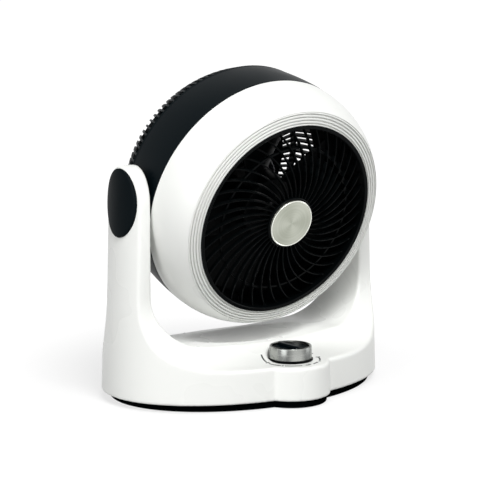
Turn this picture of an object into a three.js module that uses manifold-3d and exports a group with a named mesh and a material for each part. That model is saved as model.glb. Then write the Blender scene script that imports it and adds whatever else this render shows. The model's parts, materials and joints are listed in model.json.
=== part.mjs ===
// Air circulator fan: a round head tilts between the two arms of a U-shaped base.
// Millimetres, +Z up, the fan blows towards -Y. The origin is on the floor, under the middle of the
// object, and the pose at rest has the head tilted a little downwards.
import * as THREE from 'three';
import { mergeVertices } from 'three/addons/utils/BufferGeometryUtils.js';
import Module from 'manifold-3d';

const wasm = await Module();
wasm.setup();

// Head: the opening sets its size, and the base follows it.
const OPENING_RADIUS = 100;
const HEAD_RADIUS = OPENING_RADIUS + 28.2;
const HEAD_TILT = 16.7;           // degrees below level in the pose at rest

// Base: an upright wall on an elliptic plan, with a round lobe in front that carries the knob.
const ARM_CLEARANCE = 2;          // between an arm and the head, on each side
const ARM_FOOT_THICKNESS = 25.8;  // from an arm's inner face out to the widest point of the base
const BASE_HALF_WIDTH = HEAD_RADIUS + ARM_CLEARANCE + ARM_FOOT_THICKNESS;
const BASE_HALF_DEPTH = 108;
const WALL_LEAN = 1.8;            // degrees that every outer wall leans inwards
const LOBE_RADIUS = 40;
const LOBE_FORWARD = BASE_HALF_DEPTH - 23.3;  // between the middles of the ellipse and the lobe
const HOUSING_WALL = 3;
const DECK_HEIGHT = 41.7;         // the low front and rear edges of the housing
const FLARE_DEPTH = 62;           // the arms flare out into the deck along a quarter ellipse
const REAR_FLARE_DEPTH = 40;      // behind them it's a steeper one
const FLARE_HEIGHT = 67.8;
const REAR_DECK_FALL = 9;         // degrees, behind the flares

// Arms and the U between them.
const ARM_HALF_DEPTH = 26.5;
const ARM_TOP_RISE = 36.5;        // the rounded arm top, above the tilt axis
const PIVOT_FORWARD = 5.7;        // the tilt axis is this far in front of the middle of the ellipse
const YOKE_FLOOR = DECK_HEIGHT + 14.3;        // the lowest line of the U, at the arms' front flare
const YOKE_FALL = 3.4;            // degrees that the floor of the U falls from there to the rear
const PIVOT_HEIGHT = YOKE_FLOOR + HEAD_RADIUS + 18.8;
const YOKE_FLOOR_RISE = 3.5;      // from there up to where the corners start
const YOKE_CORNER_WIDTH = 50;
const YOKE_CORNER_HEIGHT = 52.5;
const SCOOP_DEPTH = 8.5;          // shallow bowl in the floor of the U, under the head
const SCOOP_HALF_LENGTH = 230;
const SCOOP_REARWARD = 9.4;       // its middle lies this far behind the tilt axis

// Bottom cover, feet and screws.
const FOOT_RADIUS = 9;
const FOOT_HEIGHT = 4;
const FOOT_SINK = 3.2;            // how deep a foot sits in its pocket
const COVER_THICKNESS = 7.2;
const COVER_INSET = 3.5;
const COVER_UNDERCUT = 4;         // the cover narrows by this much towards the floor
const COVER_RIM_WIDTH = 2;
const COVER_RIM_HEIGHT = 6;
const FOOT_SPREAD_X = BASE_HALF_WIDTH - 44;
const FOOT_SPREAD_Y = BASE_HALF_DEPTH - 58;
const SCREW_SPREAD_X = BASE_HALF_WIDTH - 72;
const SCREW_SPREAD_Y = BASE_HALF_DEPTH - 46;
const SCREW_RADIUS = 1.6;
const SCREW_HEAD_RADIUS = 3.4;
const SCREW_HEAD_HEIGHT = 2;
const SCREW_LENGTH = 16;
const POST_RADIUS = 5;

// Speed control.
const KNOB_RADIUS = 21.4;
const KNOB_HEIGHT = 13;
const KNOB_WALL = 3.2;
const KNOB_RECESS = 4.5;
const KNOB_GRIP_WIDTH = 5;
const KNOB_HUB_RADIUS = 6.5;
const BEZEL_OVERHANG = 1;
const BEZEL_HEIGHT = 1.4;
const SPINDLE_RADIUS = 3;
const BUSHING_RADIUS = 5;
const BUSHING_RISE = 4.6;
const SWITCH_WIDTH = 24;
const SWITCH_HEIGHT = 15;
const NUT_RADIUS = 8;
const NUT_HEIGHT = 1.8;
const CAPACITOR_SIZE = new THREE.Vector3(46, 18, 26);
const CAPACITOR_Y = BASE_HALF_DEPTH - 70;
const GROMMET_RADIUS = 6;
const GROMMET_BORE = 3.4;
const GROMMET_FLANGE = 2.4;
const GROMMET_HEIGHT = 26;

// Head, measured forwards from the tilt axis and outwards from the fan's own axis.
const SHELL_WALL = 2.6;
const SEAM_FORWARD = 23.5;
const RING_FORWARD = 74;
const RING_OUTER_RADIUS = OPENING_RADIUS + 13.7;
const RING_SLOPE = 2.4;
const RING_THICKNESS = 3;
const SHELL_BULGE_LENGTH = 60;
const SPIGOT_LENGTH = 5;
const SPIGOT_WALL = 1.8;
const DUCT_WALL = 2.2;
const DUCT_REAR = -20;
const BAND_REAR = -27;            // where the plain band of the rear shell meets the rear grille
const BAND_REAR_RADIUS = HEAD_RADIUS - 3.9;
const BOSS_RADIUS = 13;
const BOSS_LENGTH = 18;
const BOLT_RADIUS = 5;
const BOLT_HEAD_RADIUS = 8;
const BOLT_HEAD_HEIGHT = 4;
const WASHER_RADIUS = 11;
const CAP_HALF_WIDTH = 22.9;
const CAP_HALF_HEIGHT = 34;
const CAP_BULGE = 2.7;
const CAP_PLUG_SCALE = 0.6;
const CAP_PLUG_LENGTH = 3.6;

// Front grille.
const RIB_COUNT = 40;
const RIB_WIDTH = 1.8;
const RIB_DEPTH = 4.5;
const RIB_SWEEP = 30;             // degrees that a rib turns on its way outwards
const RIB_SWEEP_POWER = 1.12;
const RIB_PHASE = -3.2;
const GRILLE_RIM_WIDTH = 3;
const GRILLE_RIM_DEPTH = 7;
const GRILLE_DOME = 10;           // the ribs rise by this much from the rim to the hub
const GRILLE_SINK = 3;            // the rim lies this far behind the ring's front
const GRILLE_HUB_RADIUS = 26.6;
const GRILLE_HUB_DEPTH = 8;
const GRILLE_HUB_RISE = 2;         // the hub's rim stands in front of the ribs by this much
const BADGE_RADIUS = 24.6;
const BADGE_THICKNESS = 3;

// Rear grille: ribs that wrap round the rear corner onto the back.
const REAR_RIB_COUNT = 54;
const REAR_RIB_WIDTH = 2.2;
const REAR_RIB_DEPTH = 9;         // on the slope; on the back they're as deep as the plate
const REAR_FACE = -62;
const REAR_CORNER_RADIUS = HEAD_RADIUS - 23.7;
const REAR_CORNER_ROUNDING = 2.5;
const REAR_PLATE_THICKNESS = 4;
const REAR_RING_LENGTH = 8;       // a ring joins the ribs under the corner
const REAR_RING_WIDTH = 2.2;
const REAR_PLATE_RADIUS = 50;

// Motor and impeller.
const MOTOR_RADIUS = 43;
const MOTOR_REAR = -58;
const MOTOR_FRONT = -4;
const MOTOR_WALL = 2;
const STATOR_RADIUS = 38;
const STATOR_LENGTH = 28;
const ROTOR_RADIUS = 20;
const AIR_GAP = 0.5;
const WINDING_LENGTH = 5;
const WINDING_INSET = 5;
const SHAFT_RADIUS = 4;
const BEARING_RADIUS = 9;
const BEARING_LENGTH = 8;
const IMPELLER_HUB_RADIUS = 32;
const IMPELLER_REAR = 4;
const IMPELLER_FRONT = 46;
const IMPELLER_WALL = 2.4;
const BLADE_COUNT = 5;
const BLADE_TIP_CLEARANCE = 4;
const BLADE_THICKNESS = 2.6;
const BLADE_ROOT_CHORD = 52;
const BLADE_TIP_CHORD = 110;
const BLADE_ROOT_PITCH = 35;      // degrees from the plane of rotation
const BLADE_TIP_PITCH = 19;
const BLADE_PHASE = 22;           // degrees up from the right, in the pose at rest
const SPINNER_RADIUS = 12;
const SPINNER_LENGTH = 9;

const GAP = 0.3;                  // between pieces that touch
const ROUND = 40;                 // segments of a large circle
const MIDDLE_ROUND = 24;
const SMALL_ROUND = 12;

// Places that follow from the sizes above.
const BASE_Y = (LOBE_FORWARD + LOBE_RADIUS - BASE_HALF_DEPTH) / 2;
const KNOB_Y = BASE_Y - LOBE_FORWARD;
const PIVOT_Y = BASE_Y - PIVOT_FORWARD;
const ARM_INNER_X = HEAD_RADIUS + ARM_CLEARANCE;
const WALL_FOOT = FOOT_HEIGHT - FOOT_SINK + COVER_THICKNESS;
const COVER_BOTTOM = FOOT_HEIGHT - FOOT_SINK;
const LEAN = Math.tan(THREE.MathUtils.degToRad(WALL_LEAN));
const ARM_TOP = PIVOT_HEIGHT + ARM_TOP_RISE;
const YOKE_RIDGE_Y = PIVOT_Y - FLARE_DEPTH + 10;
const SCOOP_FLOOR = YOKE_FLOOR - SCOOP_DEPTH;
const FAR = 4 * BASE_HALF_WIDTH;  // longer than anything that is cut

// ---------------------------------------------------------------------------------------------
// Solids

function toSolid(geometry) {
  const bare = geometry.clone();
  bare.deleteAttribute('normal');
  bare.deleteAttribute('uv');
  const merged = mergeVertices(bare, 1e-4);
  const position = merged.attributes.position;
  const index = merged.index.array;
  const triangles = [];
  for (let i = 0; i < index.length; i += 3) {
    const [a, b, c] = [index[i], index[i + 1], index[i + 2]];
    if (a !== b && b !== c && c !== a) triangles.push([a, b, c]);
  }
  const corners = [0, 1, 2].map(() => new THREE.Vector3());
  let volume = 0;
  for (const triangle of triangles) {
    triangle.forEach((vertex, k) => corners[k].fromBufferAttribute(position, vertex));
    volume += corners[0].dot(corners[1].clone().cross(corners[2]));
  }
  if (volume < 0) triangles.forEach((triangle) => triangle.reverse());
  return new wasm.Manifold(new wasm.Mesh({
    numProp: 3,
    vertProperties: Float32Array.from(position.array),
    triVerts: Uint32Array.from(triangles.flat()),
  }));
}

function asSolid(shape) {
  return shape.isBufferGeometry ? toSolid(shape) : shape;
}

function join(...shapes) {
  return shapes.map(asSolid).reduce((whole, shape) => whole.add(shape));
}

function cut(body, ...tools) {
  return tools.map(asSolid).reduce((rest, tool) => rest.subtract(tool), asSolid(body));
}

function common(a, b) {
  return asSolid(a).intersect(asSolid(b));
}

function piece(name, shape, material) {
  const { vertProperties, triVerts } = asSolid(shape).getMesh();
  const geometry = new THREE.BufferGeometry();
  geometry.setAttribute('position', new THREE.BufferAttribute(vertProperties, 3));
  geometry.setIndex(new THREE.BufferAttribute(triVerts, 1));
  geometry.computeVertexNormals();
  const mesh = new THREE.Mesh(geometry, material.clone());
  mesh.name = name;
  return mesh;
}

// Turned about Z: a closed outline of [radius, height] pairs.
function turned(outline, segments = ROUND) {
  const points = [...outline, outline[0]].map(([radius, height]) => new THREE.Vector2(radius, height));
  return new THREE.LatheGeometry(points, segments).rotateX(Math.PI / 2);
}

// Turned about the fan's axis: a closed outline of [radius, forward] pairs.
function turnedHead(outline, segments = ROUND) {
  const points = [...outline, outline[0]].map(([radius, forward]) => new THREE.Vector2(radius, forward));
  return new THREE.LatheGeometry(points, segments).rotateX(Math.PI);
}

function tube(inner, outer, low, high, turn = turned, segments = ROUND) {
  return turn([[inner, low], [outer, low], [outer, high], [inner, high]], segments);
}

function disc(radius, low, high, turn = turned, segments = ROUND) {
  return tube(0, radius, low, high, turn, segments);
}

function block(size, centre) {
  return new THREE.BoxGeometry(size.x, size.y, size.z).translate(centre.x, centre.y, centre.z);
}

// A bar of circular section along X, from x = low to x = high.
function barX(radius, low, high, segments = SMALL_ROUND) {
  return new THREE.CylinderGeometry(radius, radius, high - low, segments)
    .rotateZ(Math.PI / 2).translate((low + high) / 2, 0, 0);
}

function barY(radius, low, high, segments = SMALL_ROUND) {
  return new THREE.CylinderGeometry(radius, radius, high - low, segments)
    .translate(0, (low + high) / 2, 0);
}

// Rings of points, all of one length, skinned into a closed body.
function loft(rings) {
  const count = rings[0].length;
  const points = rings.flat();
  const triangles = [];
  for (let ring = 0; ring < rings.length - 1; ring += 1) {
    for (let i = 0; i < count; i += 1) {
      const a = ring * count + i;
      const b = ring * count + ((i + 1) % count);
      triangles.push(a, b, a + count, b, b + count, a + count);
    }
  }
  for (const [ring, turn] of [[0, 1], [rings.length - 1, -1]]) {
    const centre = new THREE.Vector3();
    rings[ring].forEach((point) => centre.addScaledVector(point, 1 / count));
    points.push(centre);
    for (let i = 0; i < count; i += 1) {
      const edge = [ring * count + ((i + 1) % count), ring * count + i];
      if (turn < 0) edge.reverse();
      triangles.push(...edge, points.length - 1);
    }
  }
  const geometry = new THREE.BufferGeometry().setFromPoints(points);
  geometry.setIndex(triangles);
  return geometry;
}

function prismX(shape, low, high, curveSegments = 4) {
  const axes = new THREE.Matrix4().makeBasis(
    new THREE.Vector3(0, 1, 0), new THREE.Vector3(0, 0, 1), new THREE.Vector3(1, 0, 0));
  return new THREE.ExtrudeGeometry(shape, { depth: high - low, bevelEnabled: false, curveSegments })
    .applyMatrix4(axes).translate(low, 0, 0);
}

function prismY(shape, low, high, curveSegments = 4) {
  const axes = new THREE.Matrix4().makeBasis(
    new THREE.Vector3(1, 0, 0), new THREE.Vector3(0, 0, 1), new THREE.Vector3(0, -1, 0));
  return new THREE.ExtrudeGeometry(shape, { depth: high - low, bevelEnabled: false, curveSegments })
    .applyMatrix4(axes).translate(0, high, 0);
}

function ellipsePoints(halfWidth, halfDepth, centreY, z, segments) {
  return Array.from({ length: segments }, (_, i) => {
    const angle = (2 * Math.PI * i) / segments;
    return new THREE.Vector3(halfWidth * Math.cos(angle), centreY + halfDepth * Math.sin(angle), z);
  });
}

// ---------------------------------------------------------------------------------------------
// Finishes

function finish(color, roughness, metalness = 0) {
  return new THREE.MeshStandardMaterial({ color, roughness, metalness });
}

const WHITE = finish(0xe9ebe7, 0.28);
const DARK = finish(0x10161b, 0.42);
const BLACK = finish(0x08090a, 0.3);
const RUBBER = finish(0x1b1b1b, 0.85);
const SILVER = finish(0xc9c8bf, 0.32, 1);
const STEEL = finish(0x9a9d9a, 0.4, 1);
const BRONZE = finish(0x9c6b35, 0.5, 1);
const COPPER = finish(0xb06a3a, 0.4, 1);
const GREY = finish(0x5f6366, 0.6);

// ---------------------------------------------------------------------------------------------
// Base

// The elliptic wall with its lobe, between two heights, drawn in by an inset.
function planSolid(inset, low, high) {
  const ring = (halfWidth, halfDepth, y, segments) => [low, high].map((z) => {
    const drawnIn = inset + LEAN * (z - WALL_FOOT);
    return ellipsePoints(halfWidth - drawnIn, halfDepth - drawnIn, y, z, segments);
  });
  return join(
    loft(ring(BASE_HALF_WIDTH, BASE_HALF_DEPTH, BASE_Y, ROUND)),
    loft(ring(LOBE_RADIUS, LOBE_RADIUS, KNOB_Y, ROUND / 2)),
  );
}

// The base seen from the side: low deck, flares and the two rounded arms.
function sideShape(inset) {
  const front = PIVOT_Y - ARM_HALF_DEPTH;
  const rear = PIVOT_Y + ARM_HALF_DEPTH;
  const spring = DECK_HEIGHT + FLARE_HEIGHT;
  const deck = DECK_HEIGHT - inset;
  const flareHeight = FLARE_HEIGHT + inset;
  const shape = new THREE.Shape();
  shape.moveTo(-FAR, -FAR);
  shape.lineTo(FAR, -FAR);
  const fall = (FAR - rear - REAR_FLARE_DEPTH) * Math.tan(THREE.MathUtils.degToRad(REAR_DECK_FALL));
  shape.lineTo(FAR, deck - fall);
  shape.lineTo(rear + REAR_FLARE_DEPTH, deck);
  shape.absellipse(rear + REAR_FLARE_DEPTH, spring, REAR_FLARE_DEPTH + inset, flareHeight,
    -Math.PI / 2, -Math.PI, true);
  for (const start of [0, Math.PI / 2]) {
    shape.absellipse(PIVOT_Y, PIVOT_HEIGHT, ARM_HALF_DEPTH - inset, ARM_TOP_RISE - inset,
      start, start + Math.PI / 2);
  }
  shape.absellipse(front - FLARE_DEPTH, spring, FLARE_DEPTH + inset, flareHeight, 0, -Math.PI / 2, true);
  shape.lineTo(-FAR, deck);
  return shape;
}

// The U seen from the front: what is cut out between the arms, widened by an offset.
function yokeShape(offset) {
  const side = ARM_INNER_X + offset;
  const cornerX = ARM_INNER_X - YOKE_CORNER_WIDTH;
  const floorEdge = YOKE_FLOOR + YOKE_FLOOR_RISE;
  const cornerZ = floorEdge + YOKE_CORNER_HEIGHT;
  const width = YOKE_CORNER_WIDTH + offset;
  const height = YOKE_CORNER_HEIGHT + offset;
  const shape = new THREE.Shape();
  shape.moveTo(side, FAR);
  shape.lineTo(-side, FAR);
  shape.absellipse(-cornerX, cornerZ, width, height, Math.PI, 1.5 * Math.PI);
  shape.quadraticCurveTo(0, YOKE_FLOOR - YOKE_FLOOR_RISE - offset, cornerX, floorEdge - offset);
  shape.absellipse(cornerX, cornerZ, width, height, -Math.PI / 2, 0);
  return shape;
}

// The space between the arms, with a floor that falls towards the rear.
function yokeSpace(offset) {
  const fall = Math.tan(THREE.MathUtils.degToRad(YOKE_FALL));
  const shear = new THREE.Matrix4().makeShear(0, 0, 0, -fall, 0, 0);
  return prismY(yokeShape(offset), -FAR, FAR).applyMatrix4(shear).translate(0, 0, fall * YOKE_RIDGE_Y);
}

// Everything over the middle of the U, above a height.
function yokeMiddle(height) {
  const reach = ARM_INNER_X - YOKE_CORNER_WIDTH;
  return block(new THREE.Vector3(2 * reach, FAR, FAR), new THREE.Vector3(0, 0, height + FAR / 2));
}

// Shallow bowl under the head; it runs out before the corners of the U.
function scoop() {
  const radius = PIVOT_HEIGHT - SCOOP_FLOOR;
  const bowl = new THREE.SphereGeometry(1, 40, 40)
    .scale(SCOOP_HALF_LENGTH, radius, radius).translate(0, PIVOT_Y + SCOOP_REARWARD, PIVOT_HEIGHT);
  return common(bowl, yokeMiddle(0));
}

// The outside of the housing, or the same form drawn in all over by an inset.
function yokeBody(inset, low) {
  const upright = common(planSolid(inset, low, ARM_TOP + 1), prismX(sideShape(inset), -FAR, FAR));
  return cut(upright, yokeSpace(inset));
}

const KNOB_WELL_RADIUS = KNOB_RADIUS + BEZEL_OVERHANG + 2 * GAP;
const GROMMET_Y = BASE_Y + BASE_HALF_DEPTH - HOUSING_WALL - 2 * GAP;
const SCREW_PLACES = [[-1, -1], [1, -1], [-1, 1], [1, 1]]
  .map(([x, y]) => new THREE.Vector2(x * SCREW_SPREAD_X, BASE_Y + y * SCREW_SPREAD_Y));
const COVER_RIM_TOP = WALL_FOOT + COVER_RIM_HEIGHT;

// What stays solid inside the housing: the well under the knob, the grommet's seat and screw posts.
function housingCavity() {
  const seat = 2 * (GROMMET_RADIUS + GROMMET_FLANGE + HOUSING_WALL);
  const open = cut(
    yokeBody(HOUSING_WALL, WALL_FOOT - 1),
    yokeMiddle(SCOOP_FLOOR - HOUSING_WALL),
    disc(KNOB_WELL_RADIUS + HOUSING_WALL, DECK_HEIGHT - HOUSING_WALL, FAR).translate(0, KNOB_Y, 0),
    block(
      new THREE.Vector3(seat, 4 * HOUSING_WALL, seat),
      new THREE.Vector3(0, GROMMET_Y + HOUSING_WALL, GROMMET_HEIGHT),
    ),
  );
  const posts = SCREW_PLACES.map((place) => (
    disc(POST_RADIUS, WALL_FOOT, FAR, turned, SMALL_ROUND).translate(place.x, place.y, 0)));
  return cut(open, ...posts);
}

function baseHousing() {
  const cuts = [housingCavity()];
  cuts.push(disc(KNOB_WELL_RADIUS, DECK_HEIGHT, FAR, turned, ROUND / 2).translate(0, KNOB_Y, 0));
  cuts.push(disc(BUSHING_RADIUS + GAP, 0, FAR, turned, SMALL_ROUND).translate(0, KNOB_Y, 0));
  for (const place of SCREW_PLACES) {
    cuts.push(disc(SCREW_RADIUS + GAP, 0, COVER_BOTTOM + SCREW_LENGTH + 2, turned, SMALL_ROUND)
      .translate(place.x, place.y, 0));
  }
  for (const side of [-1, 1]) {
    const inner = ARM_INNER_X + HOUSING_WALL + 1;
    const bore = barX(BOLT_RADIUS + GAP, ARM_INNER_X - 1, inner);
    cuts.push(bore.scale(side, 1, 1).translate(0, PIVOT_Y, PIVOT_HEIGHT));
    cuts.push(capPlug(GAP, ARM_INNER_X + HOUSING_WALL + 1, FAR, side));
  }
  cuts.push(barY(GROMMET_RADIUS + GAP, 0, FAR).translate(0, 0, GROMMET_HEIGHT));
  cuts.push(barY(GROMMET_RADIUS + GROMMET_FLANGE + GAP, GROMMET_Y, FAR).translate(0, 0, GROMMET_HEIGHT));
  return cut(yokeBody(0, WALL_FOOT), scoop(), ...cuts);
}

// Black cover that closes the housing from below and stands on four rubber feet.
function baseCover() {
  const shrink = (BASE_HALF_WIDTH - COVER_INSET - COVER_UNDERCUT) / (BASE_HALF_WIDTH - COVER_INSET);
  const skirtRings = (halfWidth, halfDepth, y, segments) => [
    ellipsePoints(halfWidth * shrink, halfDepth * shrink, y, COVER_BOTTOM, segments),
    ellipsePoints(halfWidth, halfDepth, y, COVER_BOTTOM + COVER_THICKNESS / 2, segments),
    ellipsePoints(halfWidth, halfDepth, y, WALL_FOOT - GAP, segments),
  ];
  const skirt = join(
    loft(skirtRings(BASE_HALF_WIDTH - COVER_INSET, BASE_HALF_DEPTH - COVER_INSET, BASE_Y, ROUND)),
    loft(skirtRings(LOBE_RADIUS - COVER_INSET, LOBE_RADIUS - COVER_INSET, KNOB_Y, ROUND / 2)),
  );
  const rimInset = HOUSING_WALL + LEAN * COVER_RIM_HEIGHT + 2 * GAP;
  const rim = cut(
    planSolid(rimInset, COVER_BOTTOM + COVER_THICKNESS / 2, COVER_RIM_TOP - GAP),
    planSolid(rimInset + COVER_RIM_WIDTH, WALL_FOOT - GAP, FAR / 2),
  );
  const holes = SCREW_PLACES.flatMap((place) => [
    disc(SCREW_RADIUS + GAP, 0, FAR, turned, SMALL_ROUND).translate(place.x, place.y, 0),
    disc(SCREW_HEAD_RADIUS + GAP, 0, COVER_BOTTOM + SCREW_HEAD_HEIGHT + GAP, turned, SMALL_ROUND)
      .translate(place.x, place.y, 0),
  ]);
  const pockets = footPlaces().map((place) => (
    disc(FOOT_RADIUS + GAP, 0, FOOT_HEIGHT + GAP, turned, SMALL_ROUND).translate(place.x, place.y, 0)));
  return cut(join(skirt, rim), ...holes, ...pockets);
}

function footPlaces() {
  return [[-1, -1], [1, -1], [-1, 1], [1, 1]]
    .map(([x, y]) => new THREE.Vector2(x * FOOT_SPREAD_X, BASE_Y + y * FOOT_SPREAD_Y));
}

function foot(place) {
  const bevel = FOOT_HEIGHT / 4;
  return turned([[0, 0], [FOOT_RADIUS - bevel, 0], [FOOT_RADIUS, bevel], [FOOT_RADIUS, FOOT_HEIGHT],
    [0, FOOT_HEIGHT]], SMALL_ROUND).translate(place.x, place.y, 0);
}

// Pan-head screw along Z: its head's outer face is at the given height.
function screw(length) {
  return turned([[0, 0], [SCREW_HEAD_RADIUS, 0], [SCREW_HEAD_RADIUS, SCREW_HEAD_HEIGHT],
    [SCREW_RADIUS, SCREW_HEAD_HEIGHT], [SCREW_RADIUS, length], [0, length]], SMALL_ROUND);
}

// Oval covers over the pivots: both faces follow the housing's wall, and a plug reaches into it.
function capOutline(scale, grow) {
  return new THREE.Shape().absellipse(PIVOT_Y, PIVOT_HEIGHT,
    CAP_HALF_WIDTH * scale + grow, CAP_HALF_HEIGHT * scale + grow, 0, 2 * Math.PI);
}

function capPlug(grow, low, high, side) {
  return prismX(capOutline(CAP_PLUG_SCALE, grow), low, high, 10).scale(side, 1, 1);
}

function sideCap(side) {
  const wall = planSolid(-GAP, WALL_FOOT, ARM_TOP + CAP_BULGE);
  const bulge = planSolid(-CAP_BULGE, WALL_FOOT, ARM_TOP + CAP_BULGE);
  const plate = cut(common(prismX(capOutline(1, 0), 0, FAR, 14), bulge), wall);
  const plugFoot = ARM_INNER_X + HOUSING_WALL + BOLT_HEAD_HEIGHT + 3 * GAP;
  const plug = common(capPlug(0, plugFoot, FAR, 1), bulge);
  return (side < 0 ? mirrored(join(plate, plug)) : join(plate, plug));
}

function mirrored(solid) {
  const { vertProperties, triVerts } = solid.getMesh();
  const geometry = new THREE.BufferGeometry();
  geometry.setAttribute('position', new THREE.BufferAttribute(vertProperties, 3));
  geometry.setIndex(new THREE.BufferAttribute(triVerts, 1));
  return geometry.scale(-1, 1, 1);
}

function frictionWasher(side) {
  const inner = HEAD_RADIUS + 2 * GAP;
  return cut(barX(WASHER_RADIUS, inner, ARM_INNER_X - GAP), barX(BOLT_RADIUS + GAP, 0, FAR))
    .transform(new THREE.Matrix4().makeScale(side, 1, 1).setPosition(0, PIVOT_Y, PIVOT_HEIGHT).elements);
}

// Rotary switch under the deck, its nut, and the bezel that lies under the knob.
function rotarySwitch() {
  const top = DECK_HEIGHT - HOUSING_WALL - GAP;
  const box = block(
    new THREE.Vector3(SWITCH_WIDTH, SWITCH_WIDTH, SWITCH_HEIGHT),
    new THREE.Vector3(0, 0, top - SWITCH_HEIGHT / 2),
  );
  const bushing = disc(BUSHING_RADIUS, top - 1, DECK_HEIGHT + BUSHING_RISE, turned, SMALL_ROUND);
  const bore = disc(SPINDLE_RADIUS + GAP, top - SWITCH_HEIGHT / 2 - GAP, FAR, turned, SMALL_ROUND);
  return cut(join(box, bushing), bore);
}

function switchNut() {
  return tube(BUSHING_RADIUS + GAP, NUT_RADIUS, DECK_HEIGHT + GAP, DECK_HEIGHT + GAP + NUT_HEIGHT,
    turned, MIDDLE_ROUND);
}

function dialBezel() {
  const low = DECK_HEIGHT + GAP;
  const inner = KNOB_RADIUS - KNOB_WALL;
  return tube(inner, KNOB_RADIUS + BEZEL_OVERHANG, low, low + BEZEL_HEIGHT, turned, MIDDLE_ROUND);
}

const KNOB_LOW = DECK_HEIGHT + BEZEL_HEIGHT + 2 * GAP;
const KNOB_TOP = KNOB_LOW + KNOB_HEIGHT;
const KNOB_FLOOR = KNOB_TOP - KNOB_RECESS;

function switchSpindle() {
  const low = DECK_HEIGHT - HOUSING_WALL - SWITCH_HEIGHT / 2;
  return disc(SPINDLE_RADIUS, low, KNOB_FLOOR - 2 * GAP - KNOB_WALL / 2, turned, SMALL_ROUND);
}

function knobBody() {
  const bevel = KNOB_WALL / 4;
  const inner = KNOB_RADIUS - KNOB_WALL;
  const hubLow = DECK_HEIGHT + BUSHING_RISE + GAP;
  const ceiling = KNOB_FLOOR - KNOB_WALL / 2;
  return turned([
    [0, ceiling], [SPINDLE_RADIUS + GAP, ceiling], [SPINDLE_RADIUS + GAP, hubLow],
    [KNOB_HUB_RADIUS, hubLow], [KNOB_HUB_RADIUS, ceiling], [inner, ceiling], [inner, KNOB_LOW],
    [KNOB_RADIUS, KNOB_LOW], [KNOB_RADIUS, KNOB_TOP - bevel], [KNOB_RADIUS - bevel, KNOB_TOP],
    [inner, KNOB_TOP], [inner, KNOB_FLOOR], [0, KNOB_FLOOR],
  ], MIDDLE_ROUND);
}

// Dark disc in the knob's recess, with a finger grip across it.
function knobInsert() {
  const radius = KNOB_RADIUS - KNOB_WALL - GAP;
  const low = KNOB_FLOOR + GAP;
  const plate = disc(radius, low, low + 1, turned, MIDDLE_ROUND);
  const grip = common(
    disc(radius, low, KNOB_TOP - GAP, turned, MIDDLE_ROUND),
    block(
      new THREE.Vector3(KNOB_GRIP_WIDTH, 2 * KNOB_RADIUS, 2 * KNOB_RECESS),
      new THREE.Vector3(0, 0, KNOB_FLOOR + KNOB_RECESS),
    ),
  );
  return join(plate, grip);
}

function runCapacitor() {
  return block(CAPACITOR_SIZE, new THREE.Vector3(0, BASE_Y + CAPACITOR_Y,
    WALL_FOOT + CAPACITOR_SIZE.z / 2));
}

// Sleeve through the rear wall, where the mains lead goes in.
function cordGrommet() {
  const inner = GROMMET_Y - HOUSING_WALL - 2;
  const flange = barY(GROMMET_RADIUS + GROMMET_FLANGE, GROMMET_Y + GAP, GROMMET_Y + GROMMET_FLANGE);
  const sleeve = barY(GROMMET_RADIUS, inner, GROMMET_Y + GROMMET_FLANGE / 2);
  return cut(join(flange, sleeve), barY(GROMMET_BORE, 0, FAR));
}

// ---------------------------------------------------------------------------------------------
// Head shells

const FRONT_EDGE = RING_FORWARD - RING_SLOPE;

// The front shell's outer radius: a quarter ellipse that starts level at the seam.
function frontShellRadius(forward) {
  const reach = Math.sqrt(1 - ((FRONT_EDGE - SEAM_FORWARD) / SHELL_BULGE_LENGTH) ** 2);
  const halfHeight = (HEAD_RADIUS - RING_OUTER_RADIUS - GAP / 2) / (1 - reach);
  const share = Math.min(1, (forward - SEAM_FORWARD) / SHELL_BULGE_LENGTH);
  return HEAD_RADIUS - halfHeight * (1 - Math.sqrt(1 - share * share));
}

// Front shell: a lip behind the ring, and a spigot that reaches into the rear shell.
function frontShell() {
  const rear = SEAM_FORWARD + GAP;
  const spigot = HEAD_RADIUS - SHELL_WALL - 2 * GAP;
  const lipFront = FRONT_EDGE - RING_THICKNESS;
  const lipInner = OPENING_RADIUS + DUCT_WALL + 2 * GAP;
  const outer = [0, 0.3, 0.55, 0.8, 1].map((share) => {
    const forward = rear + (FRONT_EDGE - rear) * share;
    return [frontShellRadius(forward), forward];
  });
  const inner = [1, 0.8, 0.55, 0.3].map((share) => {
    const forward = rear + (lipFront - SHELL_WALL - rear) * share;
    return [frontShellRadius(forward) - SHELL_WALL, forward];
  });
  return turnedHead([...outer, [RING_OUTER_RADIUS + GAP / 2, lipFront], [lipInner, lipFront],
    [lipInner, lipFront - SHELL_WALL], ...inner, [spigot - SPIGOT_WALL, rear],
    [spigot - SPIGOT_WALL, rear - SPIGOT_LENGTH], [spigot, rear - SPIGOT_LENGTH], [spigot, rear]]);
}

// Ring round the opening: a sloped front and a collar that reaches into the duct.
function frontRing() {
  const back = FRONT_EDGE - RING_THICKNESS + GAP;
  const outer = RING_OUTER_RADIUS - GAP / 2;
  const collar = OPENING_RADIUS + DUCT_WALL;
  return turnedHead([[OPENING_RADIUS, RING_FORWARD], [outer, FRONT_EDGE], [outer, back], [collar, back],
    [collar, back - SHELL_WALL - GAP], [OPENING_RADIUS, back - SHELL_WALL - GAP]]);
}

const DUCT_FRONT = FRONT_EDGE - RING_THICKNESS - SHELL_WALL - GAP;

// Inner tunnel round the impeller, with a flange behind the front shell's lip.
function airDuct() {
  const inner = OPENING_RADIUS + 2 * GAP;
  const outer = inner + DUCT_WALL;
  const flange = RING_OUTER_RADIUS - SHELL_WALL - 3;
  return turnedHead([[inner, DUCT_REAR], [outer, DUCT_REAR], [outer, DUCT_FRONT - DUCT_WALL],
    [flange, DUCT_FRONT - DUCT_WALL], [flange, DUCT_FRONT], [inner, DUCT_FRONT]]);
}

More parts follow.
